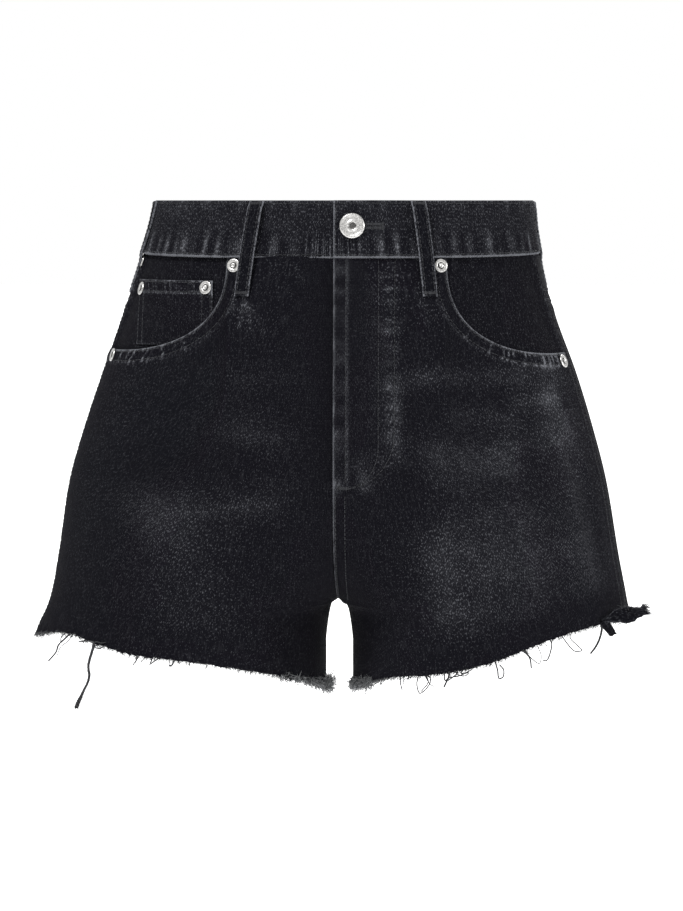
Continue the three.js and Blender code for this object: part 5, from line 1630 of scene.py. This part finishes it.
# %% [markdown]
# The rows are sewn on in the order in which a machinist meets them: fly and pockets first, then the
# seams, and the waistband, loops and back pockets last.
# %% Rows of stitches
for half in (RIGHT, LEFT):
    seam = SEAMS["scoop", half]
    for off in (1.8, 8.0):
        line = beside_line(half, seam["round"][1:-1], seam["z"][1:-1], half * off)
        sew(("front", half), line)
    z = np.linspace(SCOOPS[half][2] - 4, float(hem_at(half, 1.9)) + 3, 70)
    sew(("front", half), skin(half, walk(half, z, side_seam(half, z), -2.2), z))
    for off in (1.8, 7.8):
        columns = np.linspace(0.02, BACK_INNER + BACK_OUTER - 0.05, 80)
        level = yoke_line(half, columns) + off
        sew(("yoke", half), skin(half, back_round(half, columns, level), level))
    z = np.linspace(-70, float(hem_at(half, 2.0)) + 3, 80)
    sew(("back", half), skin(half, walk(half, z, side_seam(half, z), 7.5), z))

FLY_OUTER, FLY_FOOT = 42.0, FLY_TURN - FLY_DROP
for x_row in (FLY_OUTER, 31.0):
    turn = np.linspace(0, QUARTER, 24)
    low = FLY_DROP * x_row / FLY_OUTER
    x = np.concatenate([np.full(24, x_row), 4 + (x_row - 4) * np.cos(turn[1:]) ** 0.85])
    z = np.concatenate([np.linspace(BAND_FRONT - 1, FLY_FOOT + low, 24), FLY_FOOT + low * (1 - np.sin(turn[1:]))])
    sew(("front", LEFT), form_at(LEFT, x, z, 2.0))
z = np.linspace(BAND_FRONT - 1, -192, 60)
sew(("front", LEFT), form_at(LEFT, 8.8, z, 2.0))
z = np.linspace(-200, -278, 40)
for x_row in (1.9, 8.4):
    sew(("front", LEFT), form_at(LEFT, x_row, z, 1.0))
sew_tack(("front", LEFT), form_at(LEFT, 3.0, -194.5, 2.0), form_at(LEFT, 11.0, -195.5, 2.0), 2.4, 22)
z = np.linspace(-100, -276, 70)
for off in (1.9, 8.2):
    sew(("back", LEFT), skin(LEFT, walk(LEFT, z, 4.0, -off), z))

coin_x = np.linspace(COIN_INNER + 1.6, COIN_OUTER - 0.4, 50)
sew(("coin", RIGHT), form_at(RIGHT, coin_x, COIN_TOP - 1.5))
sew(("coin", RIGHT), form_at(RIGHT, coin_x, COIN_TOP - COIN_HEM + 0.3))
z = np.linspace(COIN_TOP - 1, COIN_BOTTOM + 1, 30)
for x_row in (COIN_INNER + 1.6, COIN_INNER + 7.5, COIN_OUTER - 0.8, COIN_OUTER - 4.2):
    sew(("coin", RIGHT), form_at(RIGHT, x_row, z))

for half in (RIGHT, LEFT):
    for off in (1.7, 7.7):
        u = np.array([0, 0, 0.5, 1, 1]) + np.array([1, 1, 0, -1, -1]) * off / POCKET_WIDTH
        v = np.array([0.005, 1, 1, 1, 0.005]) - np.array([0, 1, 1.0, 1, 0]) * off / 132
        fine = np.linspace(0, 4, 200)
        u, v = np.interp(fine, np.arange(5), u), np.interp(fine, np.arange(5), v)
        around, z = pocket_place(half, u, v)
        sew(("pocket", half), skin(half, around, z))
    u = np.linspace(0.02, 0.98, 60)
    for z_row in (POCKET_TOP - 1.8, POCKET_TOP - POCKET_HEM + 1.2):
        around = walk(half, z_row, 4.0, -(POCKET_FROM_CENTRE + 1 + u * (POCKET_WIDTH - 2)))
        sew(("pocket", half), skin(half, around, z_row))

# The waistband's two rows, its lap end and the buttonhole
stations = np.concatenate([np.linspace(0.15, 4, 200), np.linspace(4, 0.2, 200)[1:]])
sides = np.repeat([RIGHT, LEFT], [200, 199])
for depth in (0.055, 0.945):
    z = band_bottom(stations) * depth
    line = skin(sides, stations, z) + outward(sides, stations, z) * 4
    sew(("band", 0), line)
z = np.linspace(-3, BAND_FRONT + 3, 20)
sew(("band", 0), form_at(LEFT, 2.0, z, 5.0))
for up in (1.25, -1.25):
    z = BUTTON_Z + up
    sew_tack(("band", 0), form_at(LEFT, 20.5, z, 5.0), form_at(LEFT, 33.0, z, 5.0), 2.0, 42)
sew_tack(("band", 0), form_at(LEFT, 33.6, -15.2, 5.0), form_at(LEFT, 33.6, -20.2, 5.0), 1.8, 14)

for key, parts in ROWS.items():
    stitches = join_tubes("stitches_" + PANELS[key].name, parts)
    LOOSE[key] = finish_piece(stitches, "denim_edge", None, sewing_yarn)
print("stitched pieces", len(ROWS), "stitch faces", sum(len(LOOSE[key].data.polygons) for key in ROWS))

# %% [markdown]
# Each belt loop is sewn down beside its two folded edges, and a bar tack of close stitches holds it at
# the top and at the foot.
# %% Stitches and tacks on the belt loops
def loop_line(where, across, t):
    """Points on the face of a belt loop."""
    on_half, at, z, lift = loop_grid(*where, across, t)
    return skin(on_half, at, z) + outward(on_half, at, z) * lift[:, None]


for name, *where in LOOPS:
    FACES[name] = outer_face(LOOP_PIECES[name])
    t = np.linspace(0.02, 0.98, 40)
    parts = [sewn(name, loop_line(where, np.full(40, across_at), t)) for across_at in (0.2, 0.8)]
    for t_at in (0.025, 0.965):
        a, b = loop_line(where, np.array([0.1, 0.9]), np.full(2, t_at))
        parts.append(tack(name, a, b, 2.2, 20))
    stitches = join_tubes(f"stitches_loop_{name}", parts)
    LOOSE[name] = finish_piece(stitches, "denim_edge", None, sewing_yarn)

# %% [markdown]
# Each piece of cloth is listed with the pieces sewn onto it: its stitches, the frayed hem and felled seams
# of a front, the cut seam end of the wearer's left front, and the belt loops of the waistband. The cloth
# isn't gathered or stretched. The pieces hang from the waistband, and the patches lie on the panels
# behind them.
# %% What is sewn onto each panel
for (kind, half), piece in PANELS.items():
    sewn_on = [LOOSE[kind, half]] if (kind, half) in LOOSE else []
    if kind == "front":
        sewn_on += [LOOSE[half], LOOSE["felled", half]]
    if (kind, half) == ("front", LEFT):
        sewn_on += [seam_end, flap, tip]
    if (kind, half) in (("front", LEFT), ("back", LEFT)):
        sewn_on.append(LOOSE["felled", kind])
    if kind == "band":
        sewn_on += list(LOOP_PIECES.values())
